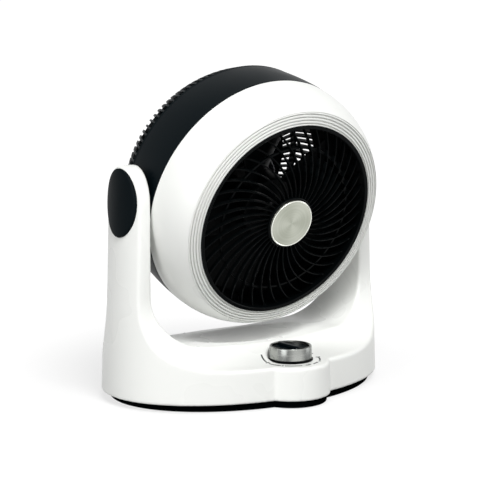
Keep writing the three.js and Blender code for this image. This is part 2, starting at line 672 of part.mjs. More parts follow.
// The rear shell's outer radius: level at the seam, a little smaller where the grille starts.
function bandRadius(forward) {
  const share = (SEAM_FORWARD - forward) / (SEAM_FORWARD - BAND_REAR);
  return HEAD_RADIUS - (HEAD_RADIUS - BAND_REAR_RADIUS) * share * share;
}

function rearShell() {
  const steps = 3;
  const outer = [];
  const inner = [];
  for (let i = 0; i <= steps; i += 1) {
    const forward = SEAM_FORWARD - ((SEAM_FORWARD - BAND_REAR) * i) / steps;
    outer.push([bandRadius(forward), forward]);
    inner.unshift([bandRadius(forward) - SHELL_WALL, forward]);
  }
  const shell = turnedHead([...outer, ...inner]);
  const bosses = [-1, 1].map((side) => (
    barX(BOSS_RADIUS, HEAD_RADIUS - BOSS_LENGTH, HEAD_RADIUS + GAP).scale(side, 1, 1)));
  const bores = [-1, 1].map((side) => barX(BOLT_RADIUS + GAP, 0, FAR).scale(side, 1, 1));
  return cut(join(shell, ...bosses), ...bores);
}

// Shoulder bolt: its head is inside the arm, its end in the rear shell's boss.
function pivotBolt(side) {
  const seat = ARM_INNER_X + HOUSING_WALL + GAP;
  const head = barX(BOLT_HEAD_RADIUS, seat, seat + BOLT_HEAD_HEIGHT);
  const shank = barX(BOLT_RADIUS, HEAD_RADIUS - BOSS_LENGTH + 2, seat + 1);
  return side < 0 ? mirrored(join(head, shank)) : join(head, shank);
}

// ---------------------------------------------------------------------------------------------
// Grilles

const RIM_FRONT = RING_FORWARD - GRILLE_SINK;
const RIM_INNER = OPENING_RADIUS - GAP - GRILLE_RIM_WIDTH;

function grilleForward(radius) {
  const share = (radius - GRILLE_HUB_RADIUS) / (RIM_INNER - GRILLE_HUB_RADIUS);
  return RIM_FRONT - 1 + GRILLE_DOME * (1 - Math.max(0, share) ** 1.6);
}

function ribAngle(radius) {
  const share = (radius - GRILLE_HUB_RADIUS) / (OPENING_RADIUS - GRILLE_HUB_RADIUS);
  return THREE.MathUtils.degToRad(RIB_PHASE + RIB_SWEEP * Math.max(0, share) ** RIB_SWEEP_POWER);
}

// One thin curved bar from the hub to the rim, upright to the plane of the grille.
function grilleRib(turn) {
  const steps = 3;
  const first = GRILLE_HUB_RADIUS - 1;
  const last = RIM_INNER + 1;
  const rings = [];
  for (let i = 0; i <= steps; i += 1) {
    const radius = first + ((last - first) * i) / steps;
    const angle = ribAngle(radius) + turn;
    const slope = (ribAngle(radius + 0.5) - ribAngle(radius - 0.5)) * radius;
    const along = angle + Math.atan(slope);
    const side = new THREE.Vector3(-Math.sin(along), 0, Math.cos(along)).multiplyScalar(RIB_WIDTH / 2);
    const centre = new THREE.Vector3(radius * Math.cos(angle), -grilleForward(radius),
      radius * Math.sin(angle));
    const back = new THREE.Vector3(0, RIB_DEPTH, 0);
    rings.push([
      centre.clone().add(side), centre.clone().sub(side),
      centre.clone().sub(side).add(back), centre.clone().add(side).add(back),
    ]);
  }
  return loft(rings);
}

function frontGrille() {
  const rim = tube(RIM_INNER, OPENING_RADIUS - GAP, RIM_FRONT - GRILLE_RIM_DEPTH, RIM_FRONT, turnedHead,
    RIB_COUNT);
  const hubFront = grilleForward(0) + GRILLE_HUB_RISE;
  const seat = hubFront - BADGE_THICKNESS / 2 - GAP;
  const hub = turnedHead([[0, hubFront - GRILLE_HUB_DEPTH], [GRILLE_HUB_RADIUS, hubFront - GRILLE_HUB_DEPTH],
    [GRILLE_HUB_RADIUS, hubFront], [BADGE_RADIUS + GAP, hubFront], [BADGE_RADIUS + GAP, seat],
    [0, seat]], RIB_COUNT);
  const ribs = Array.from({ length: RIB_COUNT }, (_, i) => grilleRib((2 * Math.PI * i) / RIB_COUNT));
  return join(rim, hub, ...ribs);
}

function hubBadge() {
  const low = grilleForward(0) + GRILLE_HUB_RISE - BADGE_THICKNESS / 2;
  const bevel = BADGE_THICKNESS / 3;
  return turnedHead([[0, low], [BADGE_RADIUS, low], [BADGE_RADIUS, low + BADGE_THICKNESS - bevel],
    [BADGE_RADIUS - bevel, low + BADGE_THICKNESS], [0, low + BADGE_THICKNESS]], RIB_COUNT);
}

// The rear grille's radius at a place on its slope, at some depth under the surface.
function rearSlope(forward, depth) {
  const start = BAND_REAR - 1;
  const fall = (BAND_REAR_RADIUS - REAR_CORNER_RADIUS) / (start - REAR_FACE);
  return BAND_REAR_RADIUS - (start - forward) * fall - depth * Math.hypot(1, fall);
}

function rearRib(turn) {
  const start = BAND_REAR - 1;
  const hub = REAR_PLATE_RADIUS - 1;
  const back = REAR_FACE + GAP;
  const bend = back + REAR_CORNER_ROUNDING;
  const inner = REAR_FACE + REAR_PLATE_THICKNESS - GAP;
  const outline = [
    [rearSlope(start, GAP), start], [rearSlope(bend, GAP), bend],
    [rearSlope(back, GAP) - REAR_CORNER_ROUNDING, back], [hub, back], [hub, inner],
    [rearSlope(inner, REAR_RIB_DEPTH), inner], [rearSlope(start, REAR_RIB_DEPTH), start],
  ];
  const shape = new THREE.Shape(outline.map(([radius, forward]) => new THREE.Vector2(radius, -forward)));
  return new THREE.ExtrudeGeometry(shape, { depth: REAR_RIB_WIDTH, bevelEnabled: false })
    .translate(0, 0, -REAR_RIB_WIDTH / 2).rotateY(turn);
}

function rearGrille() {
  const start = BAND_REAR - GAP;
  const spigot = BAND_REAR_RADIUS - SHELL_WALL - 2 * GAP;
  const inner = BAND_REAR_RADIUS - REAR_PLATE_THICKNESS - GAP;
  const collar = turnedHead([[inner, start - 2.5], [BAND_REAR_RADIUS, start - 2.5],
    [BAND_REAR_RADIUS, start], [spigot, start], [spigot, start + SPIGOT_LENGTH],
    [inner, start + SPIGOT_LENGTH]]);
  const plate = disc(REAR_PLATE_RADIUS, REAR_FACE, REAR_FACE + REAR_PLATE_THICKNESS, turnedHead);
  const ringRear = REAR_FACE + 2 * GAP;
  const ringRadius = rearSlope(ringRear, GAP) - REAR_CORNER_ROUNDING;
  const ring = turnedHead([[ringRadius - REAR_RING_WIDTH, ringRear], [ringRadius, ringRear],
    [ringRadius, ringRear + REAR_RING_LENGTH], [ringRadius - REAR_RING_WIDTH, ringRear + REAR_RING_LENGTH]]);
  const ribs = Array.from({ length: REAR_RIB_COUNT }, (_, i) => rearRib((2 * Math.PI * i) / REAR_RIB_COUNT));
  const holes = motorScrewPlaces().map((place) => (
    barY(SCREW_RADIUS + GAP, 0, FAR).translate(place.x, 0, place.y)));
  return cut(join(collar, plate, ring, ...ribs), ...holes);
}

// ---------------------------------------------------------------------------------------------
// Motor and impeller

const COVER_SPLIT = (MOTOR_REAR + MOTOR_FRONT) / 2;
const STATOR_REAR = COVER_SPLIT - STATOR_LENGTH / 2;
const STATOR_FRONT = COVER_SPLIT + STATOR_LENGTH / 2;
const MOTOR_SEAT = REAR_FACE + REAR_PLATE_THICKNESS + GAP;

function motorScrewPlaces() {
  const radius = MOTOR_RADIUS - MOTOR_WALL - POST_RADIUS;
  return Array.from({ length: 4 }, (_, i) => {
    const angle = (Math.PI / 2) * (i + 0.5);
    return new THREE.Vector2(radius * Math.cos(angle), radius * Math.sin(angle));
  });
}

function motorScrew(place) {
  const turnedOver = screw(SCREW_LENGTH).rotateX(Math.PI / 2);
  return turnedOver.translate(place.x, -REAR_FACE + GAP + SCREW_HEAD_HEIGHT, place.y);
}

// One half of the motor's casing: a cup with a seat for its bearing.
function motorCover(end, split, sign) {
  const wall = sign * MOTOR_WALL;
  const seatDepth = sign * (BEARING_LENGTH + MOTOR_WALL);
  return turnedHead([[BEARING_RADIUS + GAP, end], [MOTOR_RADIUS, end], [MOTOR_RADIUS, split],
    [MOTOR_RADIUS - MOTOR_WALL, split], [MOTOR_RADIUS - MOTOR_WALL, end + wall],
    [BEARING_RADIUS + GAP + MOTOR_WALL, end + wall], [BEARING_RADIUS + GAP + MOTOR_WALL, end + seatDepth],
    [BEARING_RADIUS + GAP, end + seatDepth]], MIDDLE_ROUND);
}

function motorRearCover() {
  const cup = motorCover(MOTOR_SEAT, COVER_SPLIT - GAP / 2, 1);
  const posts = motorScrewPlaces().map((place) => (
    barY(POST_RADIUS, -STATOR_REAR + GAP, -MOTOR_SEAT - 1).translate(place.x, 0, place.y)));
  const bores = motorScrewPlaces().map((place) => (
    barY(SCREW_RADIUS + GAP, 0, FAR).translate(place.x, 0, place.y)));
  return cut(join(cup, ...posts), ...bores);
}

function bearing(low) {
  return tube(SHAFT_RADIUS + GAP, BEARING_RADIUS, low, low + BEARING_LENGTH, turnedHead, MIDDLE_ROUND);
}

function winding(low) {
  const inner = ROTOR_RADIUS + AIR_GAP + 2;
  const outer = STATOR_RADIUS - WINDING_INSET - POST_RADIUS;
  return tube(inner, outer, low, low + WINDING_LENGTH, turnedHead, MIDDLE_ROUND);
}

function motorShaft() {
  return disc(SHAFT_RADIUS, MOTOR_SEAT + MOTOR_WALL, IMPELLER_FRONT + SPINNER_LENGTH / 2, turnedHead,
    SMALL_ROUND);
}

// Twisted blade: flat sections set at a pitch that falls from the root to the tip.
function impellerBlade(turn) {
  const root = IMPELLER_HUB_RADIUS - 1.5;
  const tip = OPENING_RADIUS - BLADE_TIP_CLEARANCE;
  const middle = (IMPELLER_REAR + IMPELLER_FRONT) / 2;
  const steps = 4;
  const rings = [];
  for (let i = 0; i <= steps; i += 1) {
    const share = i / steps;
    const radius = root + (tip - root) * share;
    const chord = BLADE_ROOT_CHORD + (BLADE_TIP_CHORD - BLADE_ROOT_CHORD) * share;
    const pitch = THREE.MathUtils.degToRad(
      BLADE_ROOT_PITCH + (BLADE_TIP_PITCH - BLADE_ROOT_PITCH) * share);
    const ring = [[-1, -1], [0, -1.15], [1, -0.6], [1, 0.6], [0, 1.15], [-1, 1]].map(([u, v]) => {
      const across = (u * chord) / 2;
      const thick = (v * BLADE_THICKNESS) / 2;
      const camber = 0.08 * chord * (1 - u * u);
      const angle = (across * Math.cos(pitch) - (thick + camber) * Math.sin(pitch)) / radius;
      const forward = across * Math.sin(pitch) + (thick + camber) * Math.cos(pitch);
      return new THREE.Vector3(radius * Math.cos(angle), -(middle + forward), radius * Math.sin(angle));
    });
    rings.push(ring);
  }
  return loft(rings).rotateY(turn);
}

function impeller() {
  const bevel = IMPELLER_WALL * 2;
  const bossRadius = SHAFT_RADIUS * 2.5;
  const hub = turnedHead([[SHAFT_RADIUS + GAP, IMPELLER_FRONT - 12], [bossRadius, IMPELLER_FRONT - 12],
    [bossRadius, IMPELLER_FRONT - IMPELLER_WALL],
    [IMPELLER_HUB_RADIUS - IMPELLER_WALL, IMPELLER_FRONT - IMPELLER_WALL],
    [IMPELLER_HUB_RADIUS - IMPELLER_WALL, IMPELLER_REAR], [IMPELLER_HUB_RADIUS, IMPELLER_REAR],
    [IMPELLER_HUB_RADIUS, IMPELLER_FRONT - bevel], [IMPELLER_HUB_RADIUS - bevel, IMPELLER_FRONT],
    [SHAFT_RADIUS + GAP, IMPELLER_FRONT]], MIDDLE_ROUND);
  const core = disc(IMPELLER_HUB_RADIUS - IMPELLER_WALL / 2, -FAR, FAR, turnedHead, MIDDLE_ROUND);
  const blades = Array.from({ length: BLADE_COUNT }, (_, i) => (
    cut(impellerBlade((2 * Math.PI * i) / BLADE_COUNT - THREE.MathUtils.degToRad(BLADE_PHASE)), core)));
  return join(hub, ...blades);
}

function impellerSpinner() {
  const low = IMPELLER_FRONT + GAP;
  const bore = low + SPINNER_LENGTH / 2;
  const top = low + SPINNER_LENGTH;
  return turnedHead([[SHAFT_RADIUS + GAP, low], [SPINNER_RADIUS, low],
    [SPINNER_RADIUS * 0.9, low + SPINNER_LENGTH / 2], [SPINNER_RADIUS * 0.5, top], [0, top], [0, bore],
    [SHAFT_RADIUS + GAP, bore]], MIDDLE_ROUND);
}

// ---------------------------------------------------------------------------------------------
// Assembly

function baseGroup() {
  const group = new THREE.Group();
  group.add(piece('base_housing', baseHousing(), WHITE));
  group.add(piece('base_cover', baseCover(), BLACK));
  const corners = ['front_left', 'front_right', 'rear_left', 'rear_right'];
  footPlaces().forEach((place, i) => group.add(piece(`foot_${corners[i]}`, foot(place), RUBBER)));
  SCREW_PLACES.forEach((place, i) => {
    const fastener = piece(`base_screw_${i + 1}`, screw(SCREW_LENGTH), STEEL);
    fastener.position.set(place.x, place.y, COVER_BOTTOM);
    group.add(fastener);
  });
  for (const [name, side] of [['left', -1], ['right', 1]]) {
    group.add(piece(`side_cap_${name}`, sideCap(side), DARK));
    group.add(piece(`friction_washer_${name}`, frictionWasher(side), GREY));
  }
  const control = new THREE.Group();
  control.position.y = KNOB_Y;
  control.add(piece('rotary_switch', rotarySwitch(), GREY));
  control.add(piece('switch_nut', switchNut(), STEEL));
  control.add(piece('dial_bezel', dialBezel(), BLACK));
  control.add(piece('switch_spindle', switchSpindle(), STEEL));
  control.add(piece('knob_body', knobBody(), STEEL));
  control.add(piece('knob_insert', knobInsert(), DARK));
  group.add(control);
  group.add(piece('run_capacitor', runCapacitor(), GREY));
  const grommet = piece('cord_grommet', cordGrommet(), RUBBER);
  grommet.position.z = GROMMET_HEIGHT;
  group.add(grommet);
  return group;
}

function headGroup() {
  const group = new THREE.Group();
  group.position.set(0, PIVOT_Y, PIVOT_HEIGHT);
  group.rotation.x = THREE.MathUtils.degToRad(HEAD_TILT);
  group.add(piece('front_shell', frontShell(), WHITE));
  group.add(piece('front_ring', frontRing(), WHITE));
  group.add(piece('air_duct', airDuct(), BLACK));
  group.add(piece('rear_shell', rearShell(), DARK));
  group.add(piece('front_grille', frontGrille(), BLACK));
  group.add(piece('hub_badge', hubBadge(), SILVER));
  group.add(piece('rear_grille', rearGrille(), DARK));
  group.add(piece('pivot_bolt_left', pivotBolt(-1), STEEL));
  group.add(piece('pivot_bolt_right', pivotBolt(1), STEEL));
  group.add(piece('motor_rear_cover', motorRearCover(), STEEL));
  group.add(piece('motor_front_cover', motorCover(MOTOR_FRONT, COVER_SPLIT + GAP / 2, -1), STEEL));
  group.add(piece('motor_stator', tube(ROTOR_RADIUS + AIR_GAP, MOTOR_RADIUS - MOTOR_WALL - GAP,
    STATOR_REAR, STATOR_FRONT, turnedHead, MIDDLE_ROUND), STEEL));
  group.add(piece('winding_rear', winding(STATOR_REAR - GAP - WINDING_LENGTH), COPPER));
  group.add(piece('winding_front', winding(STATOR_FRONT + GAP), COPPER));
  group.add(piece('bearing_rear', bearing(MOTOR_SEAT + MOTOR_WALL), BRONZE));
  group.add(piece('bearing_front', bearing(MOTOR_FRONT - MOTOR_WALL - BEARING_LENGTH), BRONZE));
  motorScrewPlaces().forEach((place, i) => {
    group.add(piece(`motor_screw_${i + 1}`, motorScrew(place), STEEL));
  });
  group.add(piece('motor_shaft', motorShaft(), STEEL));
  group.add(piece('motor_rotor', tube(SHAFT_RADIUS + GAP, ROTOR_RADIUS, STATOR_REAR, STATOR_FRONT,
    turnedHead, MIDDLE_ROUND), STEEL));
  group.add(piece('impeller', impeller(), BLACK));
  group.add(piece('impeller_spinner', impellerSpinner(), BLACK));
  return group;
}

const fan = new THREE.Group();
fan.add(baseGroup(), headGroup());

export default fan;
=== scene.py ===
import json
import math

import bpy
from mathutils import Matrix, Vector


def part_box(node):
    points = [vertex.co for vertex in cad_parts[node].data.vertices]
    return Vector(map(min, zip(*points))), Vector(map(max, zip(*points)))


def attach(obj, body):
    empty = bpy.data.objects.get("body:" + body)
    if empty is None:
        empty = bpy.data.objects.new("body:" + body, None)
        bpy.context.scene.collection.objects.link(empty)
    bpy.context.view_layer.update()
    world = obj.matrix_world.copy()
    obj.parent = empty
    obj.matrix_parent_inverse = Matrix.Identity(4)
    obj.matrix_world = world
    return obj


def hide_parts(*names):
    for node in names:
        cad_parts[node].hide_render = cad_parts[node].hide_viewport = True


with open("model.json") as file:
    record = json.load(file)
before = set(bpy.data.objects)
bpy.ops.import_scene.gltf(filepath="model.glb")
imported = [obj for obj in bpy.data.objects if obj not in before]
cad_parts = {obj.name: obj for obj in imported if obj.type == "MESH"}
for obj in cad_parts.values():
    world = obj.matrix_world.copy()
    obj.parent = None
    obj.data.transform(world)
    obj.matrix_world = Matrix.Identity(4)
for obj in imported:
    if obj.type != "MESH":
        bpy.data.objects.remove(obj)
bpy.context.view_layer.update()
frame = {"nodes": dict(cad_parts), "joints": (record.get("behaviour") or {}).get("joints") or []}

bl_info = {
    "name": "Air circulator fan",
    "version": (1, 0, 0),
    "blender": (4, 5, 0),
    "location": "View3D > Sidebar > Fan",
    "description": "Models the look of a tilting desktop air circulator round its CAD frame",
    "category": "Object",
}

# What the frame says
JOINTS = {joint["name"]: joint for joint in frame["joints"]}
PIVOT = Vector(JOINTS["head_tilt"]["pos_m"])
FORWARD = Vector(JOINTS["impeller_spin"]["axis"]).normalized()
TILT = math.atan2(-FORWARD.z, -FORWARD.y)
KNOB_PLACE = Vector(JOINTS["speed_knob"]["pos_m"])
HOUSING_LOW, HOUSING_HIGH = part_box("base_housing")
COVER_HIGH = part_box("base_cover")[1]
KNOB_LOW, KNOB_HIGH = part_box("knob_body")
RING_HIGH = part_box("front_ring")[1]
GAP = 0.0003  # between a piece and what it sits in
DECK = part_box("dial_bezel")[0].z - GAP
CORNERS = ("front_left", "front_right", "rear_left", "rear_right")

# Head pieces are modelled with X to the right, Y up and Z forwards,
# and then laid on the tilted head
HEAD = (Matrix.Translation(PIVOT) @ Matrix.Rotation(TILT, 4, "X")
        @ Matrix.Rotation(math.pi / 2, 4, "X"))
POLE = 1e-6  # radius that stands for a point on the axis
FINISH = "_finish"  # keeps the scene's materials apart from the frame's own


def length(name, description, default):
    return bpy.props.FloatProperty(
        name=name, description=description, default=default, min=0, unit="LENGTH")


def degrees(name, description, default):
    return bpy.props.FloatProperty(name=name, description=description,
                                   default=math.radians(default), subtype="ANGLE")


def how_many(name, description, default):
    return bpy.props.IntProperty(name=name, description=description, default=default, min=3)


def colour(name, description, default):
    return bpy.props.FloatVectorProperty(
        name=name, description=description, default=default, min=0, max=1, subtype="COLOR")


class FanBaseSizes(bpy.types.PropertyGroup):
    """Sizes of the base and its arms"""
    half_width: length("Half width", "From the middle to the side of the base", HOUSING_HIGH.x)
    half_depth: length("Half depth", "Half depth of the oval wall, without the lobe", 0.108)
    lobe_radius: length("Lobe radius", "Radius of the lobe under the knob", 0.040)
    side_inset: length("Skirt inset", "How far the skirt stands back at the sides", 0.0095)
    lean: degrees("Lean", "How much the outer walls lean inwards", 1.8)
    flare_depth: length("Flare depth", "How far the foot of an arm reaches over the deck", 0.062)
    rear_flare: length("Rear flare", "The same behind the arm", 0.040)
    flare_height: length("Flare height", "How high the flare runs up the arm", 0.0678)
    deck_fall: degrees("Deck fall", "How much the deck falls behind the arms", 9)
    arm_half_depth: length("Arm half depth", "Half depth of an arm", 0.0265)
    arm_top_rise: length("Arm top", "Rise of the arm over the tilt axis",
                         HOUSING_HIGH.z - PIVOT.z)
    arm_inner: length("Arm inner face", "From the middle to an arm's inner face", 0.1302)
    yoke_floor: length("Yoke floor", "Height of the floor between the arms", 0.056)
    corner_width: length("Corner width", "Width of the rounded corner of the yoke", 0.050)
    corner_height: length("Corner height", "Height of the rounded corner", 0.0525)
    yoke_fall: degrees("Yoke fall", "How much the yoke's floor falls to the rear", 3.4)
    yoke_sag: length("Yoke sag", "How much that floor sags in the middle", 0.0035)
    scoop: length("Scoop", "Depth of the bowl in the yoke's floor", 0.0085)
    scoop_half_width: length("Scoop half width", "Half width of the ball that cuts it", 0.230)
    scoop_rearward: length("Scoop place", "How far the bowl is behind the tilt axis", 0.0094)
    well: length("Well", "Radius of the well under the knob", 0.023)
    inlet: length("Inlet", "Radius of the lead's inlet in the rear wall", 0.0087)
    cap_half_width: length("Cap half width", "Half width of an oval side cap", 0.0229)
    cap_half_height: length("Cap half height", "Half height of an oval side cap", 0.034)
    cap_bulge: length("Cap bulge", "How far a cap stands proud of the wall", 0.0027)


class FanHeadSizes(bpy.types.PropertyGroup):
    """Sizes of the tilting head"""
    radius: length("Radius", "Largest radius of the head", 0.1282)
    opening: length("Opening", "Radius of the opening in the front ring", 0.100)
    ring_radius: length("Ring radius", "Outer radius of the front ring", RING_HIGH.x)
    ring_forward: length("Ring front", "How far the ring is in front of the tilt axis", 0.074)
    ring_slope: length("Ring slope", "How much the ring falls back to its outer edge", 0.0024)
    seam: length("Seam", "Where the front shell meets the rear shell", 0.0235)
    bulge: length("Bulge", "Depth of the front shell's rounding", 0.060)
    wall: length("Wall", "Thickness of the shells", 0.0026)
    band_rear: length("Band end", "How far the plain band reaches behind the axis", 0.027)
    rear_face: length("Rear face", "How far the back is behind the axis", 0.062)
    rear_corner: length("Rear corner", "Radius at which the slope meets the back", 0.1045)
    rear_rounding: length("Rear rounding", "Rounding of that corner", 0.003)
    rear_depth: length("Slope rib depth", "Depth of a rear rib on the slope", 0.0055)
    back_depth: length("Back rib depth", "Depth of a rear rib on the back", 0.0036)
    plate: length("Rear plate", "Radius of the closed plate in the rear grille", 0.088)
    duct: length("Duct", "Inner radius of the duct round the impeller", 0.1006)
    blade_tip: length("Blade tip", "Radius at which the blades end", 0.096)
    hub: length("Grille hub", "Radius of the grille's hub", 0.0266)
    badge: length("Badge", "Radius of the badge on the hub", 0.0246)
    rib_depth: length("Rib depth", "Depth of a front rib", 0.0045)
    blades: how_many("Blades", "Blades of the impeller", 5)
    ribs: how_many("Front ribs", "Spiral ribs in the front grille", 40)
    rear_ribs: how_many("Rear ribs", "Ribs in the rear grille", 106)
    sweep: degrees("Sweep", "How far a front rib turns on its way out", 30)
    phase: degrees("Phase", "Angle at which the first front rib leaves the hub", -3.2)


class FanColours(bpy.types.PropertyGroup):
    """Colours of the fan's finishes"""
    white: colour("White", "Glossy shells and base", (0.85, 0.86, 0.835))
    dark: colour("Dark", "Rear shell, caps and rear grille", (0.0006, 0.0026, 0.0038))
    black: colour("Black", "Front grille, duct and impeller", (0.0010, 0.0016, 0.0018))
    silver: colour("Silver", "Hub badge", (0.47, 0.485, 0.42))
    steel: colour("Steel", "Knob", (0.38, 0.39, 0.37))
    rubber: colour("Rubber", "Feet and inlet sleeve", (0.02, 0.02, 0.02))
    print_: colour("Print", "Marks round the knob", (0.012, 0.014, 0.014))
    backdrop: colour("Backdrop", "Floor and background", (1.0, 1.0, 1.0))


# ---------------------------------------------------------------------------------------------
# Modelling helpers

def deselect():
    if bpy.context.mode != "OBJECT":
        bpy.ops.object.mode_set(mode="OBJECT")
    bpy.ops.object.select_all(action="DESELECT")


def only(piece):
    deselect()
    piece.select_set(True)
    bpy.context.view_layer.objects.active = piece


def new_piece(name):
    piece = bpy.context.object
    piece.name = name
    piece.data.name = name
    return piece


def place(piece, matrix=Matrix()):
    """Puts a piece in its place and leaves its object at the origin"""
    only(piece)
    piece.matrix_world = matrix @ piece.matrix_world
    bpy.ops.object.transform_apply(location=True, rotation=True, scale=True)


def reshape(piece, rule):
    """Moves every corner of a piece to where a rule says"""
    for vertex in piece.data.vertices:
        vertex.co = rule(vertex.co)
    piece.data.update()


def outward(piece):
    only(piece)
    bpy.ops.object.mode_set(mode="EDIT")
    bpy.ops.mesh.select_all(action="SELECT")
    bpy.ops.mesh.remove_doubles(threshold=4 * POLE)
    bpy.ops.mesh.normals_make_consistent(inside=False)
    bpy.ops.object.mode_set(mode="OBJECT")


def apply_modifier(piece, kind, **values):
    only(piece)
    modifier = piece.modifiers.new(kind.lower(), kind)
    for key, value in values.items():
        setattr(modifier, key, value)
    bpy.ops.object.modifier_apply(modifier=modifier.name)


def bevel(piece, width, segments=2, angle=30):
    apply_modifier(piece, "BEVEL", width=width, segments=segments, limit_method="ANGLE",
                   angle_limit=math.radians(angle))


def boolean(piece, tool, operation):
    apply_modifier(piece, "BOOLEAN", object=tool, operation=operation, solver="EXACT")
    bpy.data.objects.remove(tool)
    return piece


def join(pieces, name):
    deselect()
    for piece in pieces:
        piece.select_set(True)
    bpy.context.view_layer.objects.active = pieces[0]
    if len(pieces) > 1:
        bpy.ops.object.join()
    return new_piece(name)


def copies(piece, matrices):
    """The piece and copies of it, each with its own mesh"""
    made = []
    for matrix in matrices:
        twin = piece.copy()
        twin.data = piece.data.copy()
        bpy.context.scene.collection.objects.link(twin)
        place(twin, matrix)
        made.append(twin)
    bpy.data.objects.remove(piece)
    return made


def turned(name, profile, segments=128):
    """Draws a ring out along a closed profile of (radius, height) pairs"""
    deselect()
    profile = [(max(radius, POLE), height) for radius, height in profile]
    bpy.ops.mesh.primitive_circle_add(
        vertices=segments, radius=profile[0][0], location=(0, 0, profile[0][1]))
    piece = new_piece(name)
    bpy.ops.object.mode_set(mode="EDIT")
    bpy.ops.mesh.select_all(action="SELECT")
    for (radius, height), (wider, higher) in zip(profile, profile[1:] + profile[:1]):
        bpy.ops.mesh.extrude_region_move(
            TRANSFORM_OT_translate={"value": (0, 0, higher - height)})
        bpy.ops.transform.resize(
            value=(wider / radius, wider / radius, 1), center_override=(0, 0, higher))
    bpy.ops.object.mode_set(mode="OBJECT")
    place(piece)
    outward(piece)
    return piece


def prism(name, outline, depth):
    """Lays a filled circle on an outline of (x, y) pairs and draws it out along Z"""
    deselect()
    bpy.ops.mesh.primitive_circle_add(vertices=len(outline), fill_type="NGON")
    piece = new_piece(name)
    for vertex, corner in zip(piece.data.vertices, outline):
        vertex.co = (corner[0], corner[1], 0)
    bpy.ops.object.mode_set(mode="EDIT")
    bpy.ops.mesh.select_all(action="SELECT")
    bpy.ops.mesh.extrude_region_move(TRANSFORM_OT_translate={"value": (0, 0, depth)})
    bpy.ops.object.mode_set(mode="OBJECT")
    outward(piece)
    return piece


def leaning_prism(name, half_width, half_depth, centre, low, high, lean, corners=192):
    """An upright oval that is drawn up and narrows as its walls lean"""
    deselect()
    bpy.ops.mesh.primitive_circle_add(
        vertices=corners, radius=1, fill_type="NGON", location=(0, centre, low))
    piece = new_piece(name)
    bpy.ops.object.mode_set(mode="EDIT")
    bpy.ops.mesh.select_all(action="SELECT")
    middle = (0, centre, low)
    bpy.ops.transform.resize(value=(half_width, half_depth, 1), center_override=middle)
    bpy.ops.mesh.extrude_region_move(TRANSFORM_OT_translate={"value": (0, 0, high - low)})
    drawn_in = lean * (high - low)
    bpy.ops.transform.resize(
        value=(1 - drawn_in / half_width, 1 - drawn_in / half_depth, 1),
        center_override=(0, centre, high))
    bpy.ops.object.mode_set(mode="OBJECT")
    place(piece)
    outward(piece)
    return piece


def block(name, sides, centre=(0, 0, 0), matrix=Matrix()):
    """A box with the given sides"""
    deselect()
    bpy.ops.mesh.primitive_cube_add(size=1, location=centre)
    piece = new_piece(name)
    piece.scale = sides
    place(piece, matrix)
    return piece


def unit_bar(name, steps):
    """A bar of length, width and depth 1 along X in steps, to be reshaped along a curve"""
    step = 1 / steps
    piece = block(name, (step, 1, 1), (step / 2, 0, 0))
    for face in piece.data.polygons:
        face.select = face.normal.x > 0.9
    bpy.ops.object.mode_set(mode="EDIT")
    bpy.ops.mesh.select_mode(type="FACE")
    for _ in range(steps - 1):
        bpy.ops.mesh.extrude_region_move(TRANSFORM_OT_translate={"value": (step, 0, 0)})
    bpy.ops.mesh.select_mode(type="VERT")
    bpy.ops.object.mode_set(mode="OBJECT")
    return piece


def spun_copies(piece, count):
    """Copies of a piece all round Z, as one piece"""
    name = piece.name
    turns = [Matrix.Rotation(2 * math.pi * i / count, 4, "Z") for i in range(count)]
    return join(copies(piece, turns), name)


def arc(centre, radii, start, stop, steps):
    """Points on an oval from one angle to another, in degrees"""
    points = []
    for i in range(steps + 1):
        angle = math.radians(start + (stop - start) * i / steps)
        points.append((centre[0] + radii[0] * math.cos(angle),
                       centre[1] + radii[1] * math.sin(angle)))
    return points


def finished(piece, body, material, nodes=(), slot=None, angle=35):
    """Smooths a piece, gives it its finish and lets it ride on its body"""
    only(piece)
    bpy.ops.object.shade_smooth_by_angle(angle=math.radians(angle))
    piece.data.materials.clear()
    piece.data.materials.append(material)
    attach(piece, body)
    if nodes:
        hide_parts(*nodes)
    return piece


def laid(piece, matrix, *finish):
    """Lays a piece in its place and finishes it"""
    place(piece, matrix)
    return finished(piece, *finish)


def turned_piece(matrix, name, profile, segments, *finish):
    return laid(turned(name, profile, segments), matrix, *finish)


def joined_piece(matrix, name, pieces, *finish):
    return laid(join(pieces, name), matrix, *finish)


def tube(inner, outer, low, high):
    """The profile of a plain tube, or of a disc where inner is 0"""
    return [(inner, low), (outer, low), (outer, high), (inner, high)]


def between(start, stop, share):
    return start + (stop - start) * share


def over(low, high):
    """The move from the origin to the middle of a box, seen from above"""
    return Matrix.Translation(((low.x + high.x) / 2, (low.y + high.y) / 2, 0))


# ---------------------------------------------------------------------------------------------
# Finishes

def feed(tree, node, **inputs):
    """Feeds a node's sockets, named with _ for a space, from other sockets or with values"""
    for name, value in inputs.items():
        socket = node.inputs[name.replace("_", " ")]
        if isinstance(value, bpy.types.NodeSocket):
            tree.links.new(value, socket)
        else:
            socket.default_value = value
    return node


def add_node(tree, kind, **inputs):
    """The outputs of a new shader node"""
    return feed(tree, tree.nodes.new("ShaderNode" + kind), **inputs).outputs


def maths(tree, operation, *values, kind="Math"):
    """The result of a maths node on sockets and numbers"""
    node = tree.nodes.new("ShaderNode" + kind)
    node.operation = operation
    for socket, value in zip(node.inputs, values):
        if isinstance(value, bpy.types.NodeSocket):
            tree.links.new(value, socket)
        else:
            socket.default_value = value
    return node.outputs["Value"]


